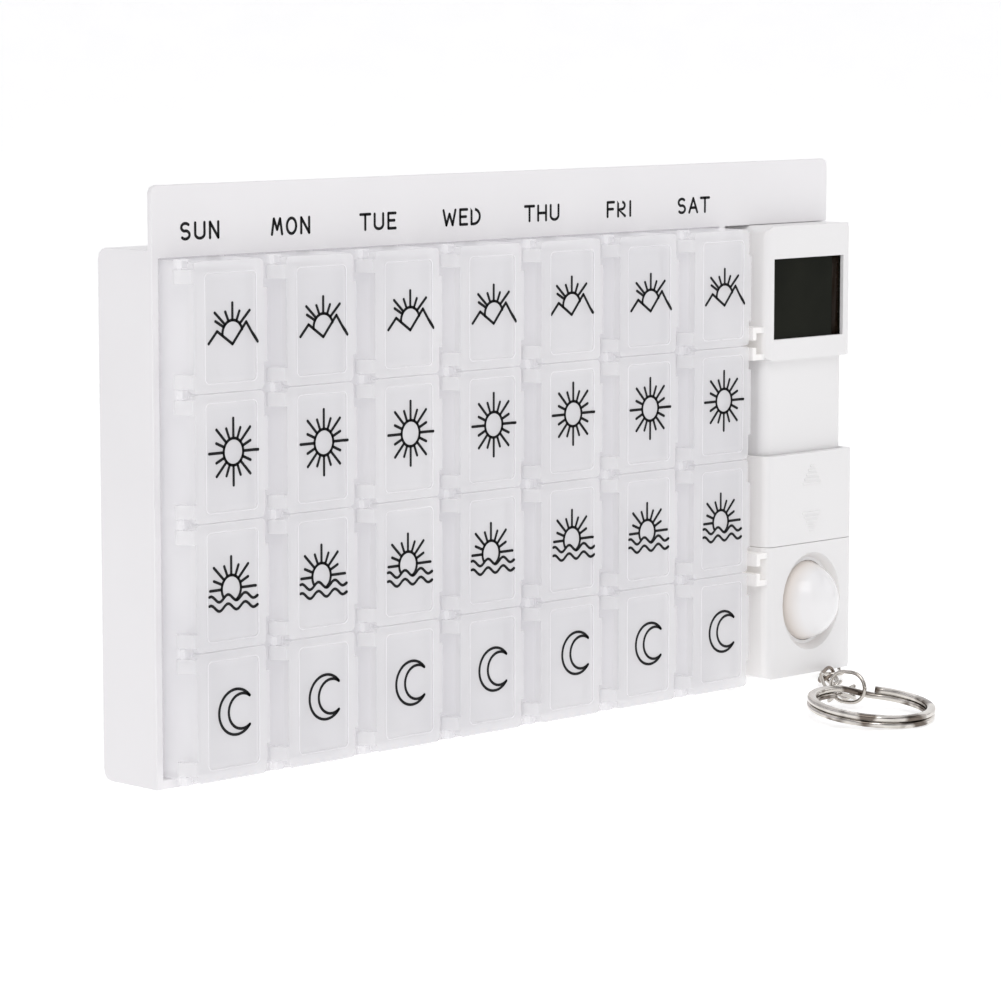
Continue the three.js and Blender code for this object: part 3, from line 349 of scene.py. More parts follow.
def frosted(name, first, second, alpha, rough, painted_glow, pane=0.0):
    """Milky plastic: a part of the light passes straight through, a painted glow stands for the light
    scattered inside, and the panes are a little darker.
    """
    material, shader, place = new_material(name)
    fine = noise(material, place, 0.5)
    tone(material, noise(material, place, 22, 2.0), first, second, shader.inputs["Base Color"])
    if pane:
        parts = material.node_tree.nodes.new("ShaderNodeSeparateXYZ")
        material.node_tree.links.new(place, parts.inputs["Vector"])
        across = stripes(material, parts.outputs["X"], PANE_LEFT, COLUMN_PITCH, PANE_WIDTH, 0.8)
        upward = stripes(material, parts.outputs["Z"], LOWEST_PANE_FOOT, ROW_PITCH, PANE_HEIGHT, 1.5)
        shade(material, reckon(material, "MULTIPLY", across, upward), (1 - pane, 1 - pane, 1 - pane * 0.9))
    spread(material, noise(material, place, 9, 3.0), rough - 0.06, rough + 0.06, shader.inputs["Roughness"])
    grain(material, shader, fine, 0.015, 0.2)
    # Painted light: an emission that stands for light scattered inside the plastic.
    shader.inputs["Emission Color"].default_value = (0.98, 0.97, 1.0, 1.0)
    shader.inputs["Emission Strength"].default_value = painted_glow
    shader.inputs["IOR"].default_value = 1.45
    shader.inputs["Alpha"].default_value = alpha
    return material


# The boxes get the strongest painted glow, which lifts the shade in the gaps between them.
frosted_box = frosted("frosted box", (0.72, 0.715, 0.73), (0.76, 0.755, 0.765), 0.45, 0.42, 0.23)
frosted_lid = frosted("frosted lid", (0.80, 0.795, 0.81), (0.84, 0.835, 0.845), 0.50, 0.38, 0.065, 0.05)
# Partly painted highlight: the bead is the lid's own plastic, but its lighter, less see-through finish
# paints on a part of the bright line that its round section catches.
frosted_bead_highlight = frosted("frosted bead highlight", (0.86, 0.85, 0.875), (0.90, 0.89, 0.91), 0.60, 0.30, 0.06)
print("frosted finishes ready")

# %% [markdown]
# ## Metal and display
# Plated wire mirrors its surroundings and shows handling as small changes of gloss. The key ring also has
# darker patches painted into its colour, which stand for dark reflections, and a darker finish is used for
# the first link. The display is nearly black with a thin gloss. Every colour still drifts a little, so no
# surface is one flat tone.


# %% Metal and glass
def metal(name, first, second, rough):
    """Bright metal whose colour and gloss drift a little, as on handled plating."""
    material, shader, place = new_material(name)
    tone(material, noise(material, place, 5, 2.0), first, second, shader.inputs["Base Color"])
    fine = noise(material, place, 1.2, 4.0)
    spread(material, fine, rough - 0.04, rough + 0.05, shader.inputs["Roughness"])
    shader.inputs["Metallic"].default_value = 1.0
    return material


nickel = metal("nickel plate", (0.50, 0.47, 0.43), (0.64, 0.61, 0.57), 0.13)
ring_nickel = metal("key ring nickel", (0.60, 0.57, 0.53), (0.72, 0.69, 0.65), 0.12)
ring_place = ring_nickel.node_tree.nodes["Texture Coordinate"].outputs["Object"]
# Painted reflection: patches where the key ring's colour is darkened stand for dark things mirrored in the
# wire.
dark_reflection_patches = ramp(ring_nickel, noise(ring_nickel, ring_place, 7.5, 2.0), 0.48, 0.41, 0.0, 1.0)
shade(ring_nickel, dark_reflection_patches, (0.24, 0.21, 0.19))
# A darker metal for the first link of the chain.
dark_link_nickel = metal("dark link nickel", (0.07, 0.05, 0.035), (0.34, 0.29, 0.25), 0.2)
steel = metal("steel", (0.55, 0.54, 0.52), (0.62, 0.61, 0.59), 0.28)
brass = metal("brass leaf", (0.58, 0.42, 0.16), (0.66, 0.50, 0.22), 0.30)
lens_dark, lens_shader, lens_place = new_material("display lens")
tone(lens_dark, noise(lens_dark, lens_place, 14, 2.0), (0.007, 0.008, 0.005), (0.010, 0.011, 0.007),
     lens_shader.inputs["Base Color"])
spread(lens_dark, noise(lens_dark, lens_place, 3, 2.0), 0.05, 0.09, lens_shader.inputs["Roughness"])
lens_shader.inputs["IOR"].default_value = 1.49
lens_shader.inputs["Specular IOR Level"].default_value = 0.05
panel_dark = moulded("display panel", (0.014, 0.015, 0.010), (0.018, 0.019, 0.013), 0.3, 0.3, 0.002)
panel_edge = moulded("display side strip", (0.012, 0.007, 0.004), (0.016, 0.010, 0.006), 0.3, 0.4, 0.002)
panel_edge.node_tree.nodes["Principled BSDF"].inputs["Specular IOR Level"].default_value = 0.1
print("metal and display finishes ready")

# %% [markdown]
# ## Mouldings with soft edges
# Real mouldings have a small radius on every edge, and that radius catches a thin line of light. The CAD
# solids have sharp edges to keep them light. So each large moulding is copied, its triangles are merged
# back into flat faces, and a Bevel modifier rounds what is left. The copy stands for the CAD node.

# %% Softened copies
SHARP_ANGLE, FLAT_ANGLE, MERGE_METRES = math.radians(28), math.radians(0.6), 2e-6


def softened(node, body, material, radius_mm, segments=2):
    """A merged copy of a CAD node whose edges are rounded by a Bevel modifier."""
    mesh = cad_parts[node].data.copy()
    work = bmesh.new()
    work.from_mesh(mesh)
    bmesh.ops.remove_doubles(work, verts=work.verts, dist=MERGE_METRES)
    bmesh.ops.dissolve_limit(work, angle_limit=FLAT_ANGLE, verts=work.verts, edges=work.edges)
    work.to_mesh(mesh)
    work.free()
    mesh.polygons.foreach_set("use_smooth", np.ones(len(mesh.polygons), bool))
    mesh.set_sharp_from_angle(angle=SHARP_ANGLE)
    copy = bpy.data.objects.new(node + "_moulding", mesh)
    bpy.context.scene.collection.objects.link(copy)
    bevel = copy.modifiers.new("soft edges", "BEVEL")
    bevel.width = radius_mm * MM
    bevel.segments = segments
    bevel.limit_method = "ANGLE"
    bevel.angle_limit = SHARP_ANGLE
    bevel.use_clamp_overlap = True
    weighted = copy.modifiers.new("even shading", "WEIGHTED_NORMAL")
    weighted.keep_sharp = False
    return dress(copy, body, material, [node])


def lifted(piece, rise):
    """Moves every point up by what rise gives for it, all in millimetres."""
    line = np.empty(3 * len(piece.data.vertices))
    piece.data.vertices.foreach_get("co", line)
    line = line.reshape(-1, 3) / MM
    line[:, 2] += rise(line)
    piece.data.vertices.foreach_set("co", (line * MM).ravel())
    piece.data.update()


def closer(piece, low_mm, high_mm, shift_mm):
    """Moves the points between two heights up or down, so that a seam is as thin as in the photograph."""
    lifted(piece, lambda line: shift_mm * ((line[:, 2] > low_mm) & (line[:, 2] < high_mm)))


def slanted(piece, start_mm):
    """Lowers the unit's top corner and lifts the display's foot and the unit's foot towards the right side.
    The rise grows evenly from 0 to CORNER_RISE over CORNER_RUN past a start of its own."""
    def rise(line):
        """The rise of each point: up at the two feet, down at the top, nothing in between."""
        foot = line[:, 2] < FOOT_TOP
        start = np.where(foot, FOOT_START, start_mm)
        beyond = CORNER_RISE * np.clip((line[:, 0] - start) / CORNER_RUN, 0, 1)
        display_foot = ((line[:, 2] > DISPLAY_FOOT_LOW) & (line[:, 2] < DISPLAY_FOOT_HIGH)
                        & (line[:, 0] > DISPLAY_EDGE))
        return beyond * (foot.astype(float) + display_foot - (line[:, 2] > SHOULDER))

    lifted(piece, rise)


print("moulding helpers ready")

# %% [markdown]
# ## The mouldings
# The seams of the real object are thinner than the play that the CAD model needs for its joints. So the
# cover, the top of the unit and the short ends of the lids reach a little further here. The corners at the
# unit's right side are also a little rounder.

# %% Mouldings
CORNER_RISE, CORNER_RUN = 0.9, 1.6
FOOT_TOP, FOOT_START = 4.0, 96.51
DISPLAY_FOOT_LOW, DISPLAY_FOOT_HIGH, DISPLAY_EDGE, SHOULDER = 69.5, 74.0, 96.85, 97.0
COVER_FOOT, UNIT_TOP, LID_REACH = 31.1, 99.4, 11.0
tray_piece = softened("tray", "tray", tray_white, 0.35, 3)
front_piece = softened("unit_front_shell", "unit", unit_white, 0.12, 2)
rear_piece = softened("unit_rear_shell", "unit", unit_white, 0.3, 3)
cover_piece = softened("sliding_cover", "cover", unit_white, 0.08, 2)
slanted(front_piece, 96.11)
slanted(rear_piece, 96.51)
closer(cover_piece, -np.inf, COVER_FOOT, -0.2)
closer(front_piece, UNIT_TOP, np.inf, 0.3)
closer(rear_piece, UNIT_TOP, np.inf, 0.3)
softened("battery_door", "door", unit_white, 0.15, 2)
for day in DAYS:
    softened("day_box_" + day, "box_" + day, frosted_box, 0.2, 2)
    for row, time in enumerate(TIMES):
        lid = softened(f"lid_{day}_{time}", f"lid_{day}_{time}", frosted_lid, 0.15, 2)
        middle = TOP_ROW_Z - ROW_PITCH * row
        closer(lid, middle + LID_REACH, np.inf, 0.1)
        closer(lid, -np.inf, middle - LID_REACH, -0.1)
print("tray copy has", len(tray_piece.data.polygons), "flat faces")

# %% [markdown]
# ## Small parts that keep their CAD shape
# The board, the coin cell, the screws and the set buttons already have the right shape, so they only get
# a finish. Their mesh is never touched.

# %% Finishes for the kept parts
kept = {
    "display_panel": panel_dark, "circuit_board": board_green, "alarm_switch": black_plastic,
    "buzzer": black_plastic, "coin_cell": steel, "battery_clip": brass, "case_screw_upper": steel,
    "case_screw_lower": steel, "mode_button": button_grey, "hour_button": button_grey,
    "minute_button": button_grey, "display_lens": lens_dark,
}
for node, material in kept.items():
    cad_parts[node].data.materials.clear()
    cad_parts[node].data.materials.append(material)
print("kept parts", len(kept))

# %% [markdown]
# ## Beads on the lids
# The photograph shows a bright line round the pane of every lid: a small round bead that catches the light.
# Its section is the front half of an ellipse and its path is a rectangle with round corners.

# %% Beads
PANE_RIGHT, PANE_CORNER = PANE_LEFT + PANE_WIDTH, 1.0
LID_Y, PANE_Y, BEAD_HALF, BEAD_RISE, BEAD_SINK = -16.65, -16.5, 0.13, 0.05, 0.1
round_corner = np.linspace(0, np.pi / 2, 7)
corner_places = [(PANE_RIGHT - PANE_CORNER, 1, 0), (PANE_LEFT + PANE_CORNER, 1, np.pi / 2),
                 (PANE_LEFT + PANE_CORNER, -1, np.pi), (PANE_RIGHT - PANE_CORNER, -1, 3 * np.pi / 2)]
bead_line = np.vstack([
    [x, side * (PANE_HEIGHT / 2 - PANE_CORNER)]
    + PANE_CORNER * np.column_stack([np.cos(first + round_corner), np.sin(first + round_corner)])
    for x, side, first in corner_places])
bead_out = np.roll(bead_line, -1, axis=0) - np.roll(bead_line, 1, axis=0)
bead_out = np.column_stack([bead_out[:, 1], -bead_out[:, 0]])
bead_out = bead_out / np.linalg.norm(bead_out, axis=1, keepdims=True)
bead_turn = np.linspace(0, np.pi, 7)
bead_side = np.concatenate([BEAD_HALF * np.cos(bead_turn), [-BEAD_HALF, BEAD_HALF]])
bead_y = np.concatenate([LID_Y - BEAD_RISE * np.sin(bead_turn), [PANE_Y + BEAD_SINK, PANE_Y + BEAD_SINK]])
bead_grid = bead_line[:, None, :] + bead_out[:, None, :] * bead_side[None, :, None]
bead_depth = np.repeat(bead_y[None, :], len(bead_line), axis=0)
bead_points = np.stack([bead_grid[:, :, 0], bead_depth, bead_grid[:, :, 1]], axis=-1)
bead_faces = grid_faces(*bead_points.shape[:2], closed_rows=True, closed_columns=True).tolist()
# Each bead gets the lighter bead finish, a painted highlight on top of the light its round section catches.
for k, day in enumerate(DAYS):
    for row, time in enumerate(TIMES):
        bead_place = [COLUMN_PITCH * k, 0, TOP_ROW_Z - ROW_PITCH * row]
        bead = finish_mesh(f"bead_{day}_{time}", bead_points + bead_place, bead_faces)
        dress(bead, f"lid_{day}_{time}", frosted_bead_highlight)
print("bead sections", len(bead_line))

# %% [markdown]
# ## Printed signs
# The header carries a short word for each day and every lid carries a sign for its time of day. They are
# pad-printed: a very thin black film on the plastic. Each stroke is a ribbon whose width shrinks to
# nothing over a half circle at both ends, which is the round end that a pen or a print screen leaves.

# %% Ink strokes
STROKE, FINE_STEP = 0.56, 0.1
FILM_FRONT, FILM_BACK = -0.035, 0.02


def arc(x, z, radius, start, end, steps=18):
    """Points on a circle from one angle to another, in degrees."""
    angle = np.radians(np.linspace(start, end, steps))
    return np.column_stack([x + radius * np.cos(angle), z + radius * np.sin(angle)])


def ribbon(line):
    """A film along a line: rows of four corners, narrowed as a half circle at each end of the line."""
    line = np.asarray(line, float)
    steps = np.diff(line, axis=0)
    steps = steps / np.linalg.norm(steps, axis=1, keepdims=True)
    tangent = np.vstack([steps[:1], steps[:-1] + steps[1:], steps[-1:]])
    tangent = tangent / np.linalg.norm(tangent, axis=1, keepdims=True)
    before = np.vstack([steps[:1], steps])
    stretch = 1 / np.clip((tangent * before).sum(axis=1), 0.6, 1)
    turn = np.radians(np.linspace(0, 90, 6))[1:]
    reach, narrow = STROKE / 2 * np.sin(turn), STROKE / 2 * np.cos(turn)
    head = line[0] - tangent[0] * reach[::-1, None]
    tail = line[-1] + tangent[-1] * reach[:, None]
    path = np.vstack([head, line, tail])
    ends = len(turn)
    along = np.vstack([
        np.repeat(tangent[:1], ends, axis=0), tangent, np.repeat(tangent[-1:], ends, axis=0)])
    across = np.column_stack([-along[:, 1], along[:, 0]])
    half = np.concatenate([narrow[::-1], STROKE / 2 * stretch, narrow])[:, None]
    left, right = path + across * half, path - across * half
    front, back = [np.full((len(path), 1), value) for value in (FILM_FRONT, FILM_BACK)]
    edges = [(left, back), (left, front), (right, front), (right, back)]
    rows = [np.hstack([point[:, :1], y, point[:, 1:]]) for point, y in edges]
    return np.stack(rows, axis=1)


def corners(line):
    """A bent line taken apart at its corners, so that each straight keeps its full width."""
    line = np.asarray(line, float)
    return list(np.stack([line[:-1], line[1:]], axis=1))


def resampled(line):
    """Points every FINE_STEP along a line, found by interpolating over its running length."""
    line = np.asarray(line, float)
    run = np.concatenate([[0], np.cumsum(np.linalg.norm(np.diff(line, axis=0), axis=1))])
    even = np.linspace(0, run[-1], max(2, int(run[-1] / FINE_STEP) + 1))
    return np.column_stack([np.interp(even, run, line[:, 0]), np.interp(even, run, line[:, 1])])


def printed(name, strokes, place, body, surface=None):
    """All strokes of one sign as one mesh, laid on the surface that carries it (surface gives Y from X)."""
    points, faces, count = [], [], 0
    for line in strokes:
        rows = ribbon(line if surface is None else resampled(line))
        placed = rows.reshape(-1, 3) + np.asarray(place)
        if surface is not None:
            placed[:, 1] += surface(placed[:, 0])
        points.append(placed)
        faces.extend((grid_faces(len(rows), 4, closed_columns=True) + count).tolist())
        count += rows.shape[0] * 4
    sign = finish_mesh(name, np.vstack(points), faces)
    sign.data.polygons.foreach_set("use_smooth", np.zeros(len(sign.data.polygons), bool))
    return dress(sign, body, ink_black)


print("stroke width", STROKE, "mm")

# %% [markdown]
# ## Signs for the times of day
# A sun behind hills, a sun, a sun over waves and a crescent: plain pictograms, drawn here from lines and
# arcs about their own middle. Each time of day has its own place and scale on the lid. One box is printed
# half a millimetre higher and a little askew, as in the photograph.

# %% Signs
SUN_RADIUS = 2.55
WAVE_HEIGHT, WAVE_LENGTH, WAVE_SHIFT = 0.62, 4.55, 0.9


def rays(angles, reaches):
    """Straight rays from the sun's outline out to a reach of their own."""
    return [np.array([[r * math.cos(math.radians(a)), r * math.sin(math.radians(a))]
                      for r in (SUN_RADIUS, reach)]) for a, reach in zip(angles, reaches)]


def wave(z):
    """A line of waves: a cosine of WAVE_HEIGHT and WAVE_LENGTH across the sign."""
    x = np.linspace(-5.8, 6.8, 60)
    return np.column_stack([x, z + WAVE_HEIGHT * np.cos(2 * np.pi * (x + WAVE_SHIFT) / WAVE_LENGTH)])


hills = np.array([[-6.05, -1.75], [-3.9, 0.55], [0.0, -2.1], [3.5, 2.05], [6.25, -1.95]])
signs = {
    "morning": corners(hills) + [arc(0, 0, SUN_RADIUS, 15, 189, 30), np.array([[-2.2, 1.3], [-4.3, 2.5]])]
    + rays([90, 67, 113, 44, 137], [5.9, 4.6, 4.6, 6.1, 6.1]),
    "noon": [arc(0, 0, SUN_RADIUS, 0, 360, 48)] + rays(np.arange(0, 360, 22.5), [6.3, 4.8, 6.2, 4.8] * 4),
    "evening": [arc(0, 0, SUN_RADIUS, -60, 212, 44), wave(-1.67), wave(-3.4)]
    + rays([90, 66, 113, 44, 137, 23, 159, 0, 180], [6.05, 4.75, 4.7, 6.25, 6.25, 4.85, 4.9, 6.4, 5.6]),
    "bedtime": [arc(0, 0, 4.33, 39.6, 320.4, 48), arc(1.42, 0, 3.36, 304.8, 55.2, 40)],
}
SIGN_X = [-84.65, -84.65, -85.45, -84.4]
SIGN_Z = [86.0, 63.85, 38.15, 14.65]
SIGN_SCALE = [(0.975, 0.96), (0.955, 1.0), (0.94, 1.0), (1.0, 1.0)]
SIGN_RISE, SIGN_SKEW, LEVEL_ROW = {"thursday": 0.55}, {"thursday": 0.5}, 1.2
for k, day in enumerate(DAYS):
    def lid_surface(x, column=COLUMN_PITCH * k):
        """Y of the lid's front from pane to bead to border, at distances counted in half bead widths."""
        top = LID_Y - BEAD_RISE
        past = (x - PANE_RIGHT - column) / BEAD_HALF
        return np.interp(past, [-7.0, -1.3, 2.4, 4.0], [PANE_Y, top, top, LID_Y])

    for row, time in enumerate(TIMES):
        shift = COLUMN_PITCH * k + SIGN_SKEW.get(day, 0) * (row - LEVEL_ROW)
        centre = (SIGN_X[row] + shift, 0, SIGN_Z[row] + SIGN_RISE.get(day, 0))
        lines = [line * SIGN_SCALE[row] for line in signs[time]]
        printed(f"sign_{day}_{time}", lines, centre, f"lid_{day}_{time}", surface=lid_surface)
print("signs", len(DAYS) * len(TIMES))

# %% [markdown]
# ## Day names on the header
# Each letter is a few lines and arcs in a box one unit tall, in a plain rounded hand. They are scaled to
# the height of the printed words and set side by side.

# %% Letters
letters = {
    "S": (0.62, [np.vstack([arc(0.31, 0.74, 0.25, 40, 250, 14), arc(0.31, 0.26, 0.26, 80, -140, 14)])]),
    "U": (0.66, [np.vstack([[[0.04, 1.0]], arc(0.33, 0.3, 0.29, 180, 360, 14), [[0.62, 1.0]]])]),
    "N": (0.6, corners([[0.04, 0.0], [0.04, 1.0], [0.56, 0.0], [0.56, 1.0]])),
    "M": (0.7, corners([[0.02, 0.0], [0.15, 1.0], [0.36, 0.3], [0.55, 1.0], [0.68, 0.0]])),
    "O": (0.66, [np.column_stack([0.33 + 0.3 * np.cos(np.linspace(0, 2 * np.pi, 32)),
                                  0.5 + 0.5 * np.sin(np.linspace(0, 2 * np.pi, 32))])]),
    "T": (0.66, [np.array([[0.0, 1.0], [0.66, 1.0]]), np.array([[0.33, 1.0], [0.33, 0.0]])]),
    "E": (0.54, corners([[0.54, 1.0], [0.05, 1.0], [0.05, 0.0], [0.54, 0.0]])
          + corners([[0.05, 0.52], [0.46, 0.52]])),
    "W": (0.88, corners([[0.02, 1.0], [0.22, 0.0], [0.44, 0.75], [0.66, 0.0], [0.86, 1.0]])),
    "D": (0.66, [np.vstack([[[0.05, 0.0], [0.05, 1.0], [0.2, 1.0]],
                            np.column_stack([0.2 + 0.44 * np.sin(np.linspace(0, np.pi, 16)),
                                             0.5 + 0.5 * np.cos(np.linspace(0, np.pi, 16))]),
                            [[0.05, 0.0]]])]),
    "H": (0.66, [np.array([[0.04, 0.0], [0.04, 1.0]]), np.array([[0.62, 0.0], [0.62, 1.0]]),
                 np.array([[0.04, 0.5], [0.62, 0.5]])]),
    "F": (0.54, corners([[0.54, 1.0], [0.05, 1.0], [0.05, 0.0]]) + corners([[0.05, 0.52], [0.46, 0.52]])),
    "R": (0.62, [np.vstack([[[0.05, 0.0], [0.05, 1.0], [0.3, 1.0]], arc(0.3, 0.74, 0.26, 90, -90, 14),
                            [[0.08, 0.48], [0.58, 0.0]]])]),
    "I": (0.2, [np.array([[0.1, 0.0], [0.1, 1.0]])]),
    "A": (0.68, corners([[0.02, 0.0], [0.34, 1.0], [0.66, 0.0]]) + corners([[0.12, 0.33], [0.56, 0.33]])),
}


def word(text, height, gap, stretch):
    """The strokes of a word, centred on its own middle, with a gap between letters in millimetres."""
    strokes, x = [], 0.0
    for letter in text:
        width, lines = letters[letter]
        strokes.extend(line * [height * stretch, height] + [x, 0] for line in lines)
        x += width * height * stretch + gap
    return [line - [(x - gap) / 2, height / 2] for line in strokes]


HEADER_Y, WORD_X, WORD_Z = -7.8, -84.9, 104.75
WORD_HEIGHT, LETTER_GAP, LETTER_STRETCH = 2.95, 1.05, 1.34
for k, day in enumerate(DAYS):
    strokes = word(day[:3].upper(), WORD_HEIGHT, LETTER_GAP, LETTER_STRETCH)
    printed("word_" + day, strokes, (WORD_X + COLUMN_PITCH * k, HEADER_Y, WORD_Z), "tray")
print("words", len(DAYS))

# %% [markdown]
# ## Alarm button
# The button is a glossy oval dome. A dome is a profile turned round an axis: here a part of a sphere that
# ends in a small rolled edge. Turning it in numpy gives a smooth surface with rows where light bends.

# %% Dome
DOME_X, DOME_Z, DOME_RADIUS, DOME_OVAL, DOME_RISE = 84.0, 17.9, 8.5, 0.9, 7.3
RIM_Y, EDGE_ROUND, EDGE_DEPTH = -13.55, 0.16, 0.12
SKIRT_RADIUS, SKIRT_FRONT, SKIRT_BACK = 10.2, -11.25, -10.25
STEM_RADIUS, STEM_BACK = 2.0, -9.75
dome_sphere = (DOME_RADIUS ** 2 + DOME_RISE ** 2) / (2 * DOME_RISE)
cap = np.linspace(0, math.asin(DOME_RADIUS / dome_sphere), 22)
flank = DOME_RADIUS + EDGE_ROUND
dome_radius = np.concatenate([dome_sphere * np.sin(cap), [flank, flank, SKIRT_RADIUS, SKIRT_RADIUS,
                                                          STEM_RADIUS, STEM_RADIUS, 0.0]])
dome_y = np.concatenate([RIM_Y - DOME_RISE + dome_sphere * (1 - np.cos(cap)),
                         [RIM_Y + EDGE_DEPTH, SKIRT_FRONT, SKIRT_FRONT, SKIRT_BACK, SKIRT_BACK,
                          STEM_BACK, STEM_BACK]])
turn = np.linspace(0, 2 * np.pi, 96, endpoint=False)
dome_points = np.stack([
    DOME_X + DOME_OVAL * dome_radius[:, None] * np.cos(turn)[None, :],
    np.repeat(dome_y[:, None], len(turn), axis=1),
    DOME_Z + dome_radius[:, None] * np.sin(turn)[None, :]], axis=-1)
dome_faces = grid_faces(len(dome_radius), len(turn), closed_columns=True).tolist()
dome = finish_mesh("alarm_dome", dome_points, dome_faces)
dome.data.set_sharp_from_angle(angle=math.radians(40))
dress(dome, "alarm_key", button_gloss, ["alarm_button"])
print("dome rows", len(dome_radius))

# %% [markdown]
# ## Wire: chain, jump ring and key ring
# Wire parts are one section carried along a path. The path and the direction that the section's top
# faces are arrays, and two cross products give the frame at every point at once.


# %% Section along a path
def unit(vectors):
    """Vectors scaled to length one."""
    return vectors / np.linalg.norm(vectors, axis=-1, keepdims=True)


def carried(name, path, tops, section, closed):
    """A section of [side, up] points carried along a path; open ends are closed by a fan."""
    if closed:
        tangent = unit(np.roll(path, -1, axis=0) - np.roll(path, 1, axis=0))
    else:
        tangent = unit(np.gradient(path, axis=0))
    side = unit(np.cross(tops, tangent))
    up = np.cross(tangent, side)
    points = (path[:, None, :] + side[:, None, :] * section[None, :, :1]
              + up[:, None, :] * section[None, :, 1:])
    rows, columns = points.shape[:2]
    faces = grid_faces(rows, columns, closed_rows=closed, closed_columns=True).tolist()
    if not closed:
        faces.append(list(range(columns)))
        faces.append(list(range((rows - 1) * columns, rows * columns)))
    return finish_mesh(name, points, faces)


WIRE = 0.4
circle = np.linspace(0, 2 * np.pi, 14, endpoint=False)
round_wire = WIRE * np.column_stack([np.cos(circle), np.sin(circle)])


def link_path(rear, front, width, rear_roll, front_roll, arc_steps=12, straight_steps=10):
    """A closed loop of two half circles and two straights, rolled evenly about its own length."""
    straight = unit(front - rear)
    half = np.linalg.norm(front - rear) / 2
    bend = width / 2 - WIRE
    level = unit(np.cross(straight, [0, 0, 1]))
    upright = np.cross(level, straight)
    angle = np.radians(np.linspace(-90, 90, arc_steps + 1))
    run = np.linspace(half - bend, bend - half, straight_steps + 1)[1:-1]
    one = np.column_stack([half - bend + bend * np.cos(angle), bend * np.sin(angle)])
    top = np.column_stack([run, np.full(len(run), bend)])
    outline = np.vstack([one, top, -one, -top])
    share = (outline[:, :1] / half + 1) / 2
    roll = np.radians(rear_roll + (front_roll - rear_roll) * share)
    across = level * np.cos(roll) + upright * np.sin(roll)
    path = (rear + front) / 2 + straight * outline[:, :1] + across * outline[:, 1:]
    return path, np.cross(straight, across)


def pointing(degrees):
    """A level direction of length one, from its heading."""
    return np.array([math.cos(math.radians(degrees)), math.sin(math.radians(degrees)), 0])


print("wire radius", WIRE, "mm")

# %% [markdown]
# ## Side strip of the display
# Behind the right edge of the window a narrow strip is a little browner than the rest. It is a flat
# section carried upwards in front of the panel.

# %% Side strip
STRIP_X, STRIP_Y, STRIP_HALF, STRIP_THIN = 93.3, -13.36, 1.15, 0.02
strip_path = np.array([[STRIP_X, STRIP_Y, z] for z in (75.3, 84.0, 93.0)])
strip_section = np.array([[-STRIP_HALF, -STRIP_THIN], [STRIP_HALF, -STRIP_THIN],
                          [STRIP_HALF, STRIP_THIN], [-STRIP_HALF, STRIP_THIN]])
strip_tops = np.repeat([[0.0, -1.0, 0.0]], len(strip_path), axis=0)
strip = carried("lens_strip", strip_path, strip_tops, strip_section, False)
dress(strip, "unit", panel_edge)
print("strip corners", len(strip.data.vertices))

# %% [markdown]
# ## Bail and chain
# The bail comes out of the unit's foot, bends forward and goes round a half circle back to its other leg.
# Each link hooks into the one before it, so the places of the hooks follow from the headings and heights.
# A link is rolled about its own length, and its two ends are rolled differently, as in a twisted chain.

# %% Bail and chain
BAIL_RIGHT = np.array([96.4, -12.9, 0.95])
BAIL_REACH, LEG, LEG_TOP_Z, NOSE_Z, BEND = 4.1, 7.0, 4.4, 1.5, 1.0
LINK_PITCH, LINK_WIDTH = 9.3, 4.2
LINK_HEADINGS, HOOK_HEIGHTS = [-150, -128, -119, -163], [1.95, 1.9, 1.9, 2.3]
LINK_ROLLS = [(70, -35), (50, -40), (50, -65), (50, -42)]
HOOK = WIRE + 0.15
bail_forward = pointing(-134.6)
bail_across = np.array([-bail_forward[1], bail_forward[0], 0])
slope = (NOSE_Z - BAIL_RIGHT[2]) / (LEG + BAIL_REACH / 2)
quarter = np.radians(np.linspace(0, 90, 9))[:, None]
legs = []
for foot in (BAIL_RIGHT, BAIL_RIGHT - bail_across * BAIL_REACH):
    rise = (foot + bail_forward * BEND * (1 - np.cos(quarter))
            + np.array([0, 0, BEND]) * (1 - np.sin(quarter)))
    leg_top = np.array([[foot[0], foot[1], LEG_TOP_Z]])
    tops = bail_forward * np.cos(quarter) + np.array([0, 0, 1]) * np.sin(quarter)
    legs.append((np.vstack([leg_top, rise]), np.vstack([bail_forward[None, :], tops])))
bail_middle = BAIL_RIGHT - bail_across * BAIL_REACH / 2
half_turn = np.radians(np.linspace(0, 180, 19))[:, None]
nose_along = LEG + BAIL_REACH / 2 * np.sin(half_turn)
nose = (bail_middle + bail_forward * nose_along + bail_across * BAIL_REACH / 2 * np.cos(half_turn)
        + np.array([0, 0, slope]) * nose_along)
nose_tops = np.repeat([[0.0, 0.0, 1.0]], len(nose), axis=0)
bail_path = np.vstack([legs[0][0], nose, legs[1][0][::-1]])
bail_tops = np.vstack([legs[0][1], nose_tops, legs[1][1][::-1]])
bail = carried("bail_wire", bail_path, bail_tops, round_wire, False)
dress(bail, "unit", nickel, ["chain_bail"])
hooks = [bail_middle + bail_forward * (LEG + BAIL_REACH / 2 - HOOK)]
hooks[0][2] = NOSE_Z
for degrees, height in zip(LINK_HEADINGS, HOOK_HEIGHTS):
    hooks.append(hooks[-1] + LINK_PITCH * pointing(degrees))
    hooks[-1][2] = height
for number, (rear_roll, front_roll) in enumerate(LINK_ROLLS):
    straight = unit(hooks[number + 1] - hooks[number])
    path, tops = link_path(hooks[number] - straight * HOOK, hooks[number + 1] + straight * HOOK,
                           LINK_WIDTH, rear_roll, front_roll)
    link = carried(f"link_wire_{number + 1}", path, tops, round_wire, True)
    dress(link, "chain", nickel if number else dark_link_nickel, [f"chain_link_{number + 1}"])
print("chain ends at", np.round(hooks[-1], 1))

# %% [markdown]
# ## Jump ring
# The jump ring stands upright in the last link and holds the key ring. It is one more link, rolled by a
# right angle at both ends.

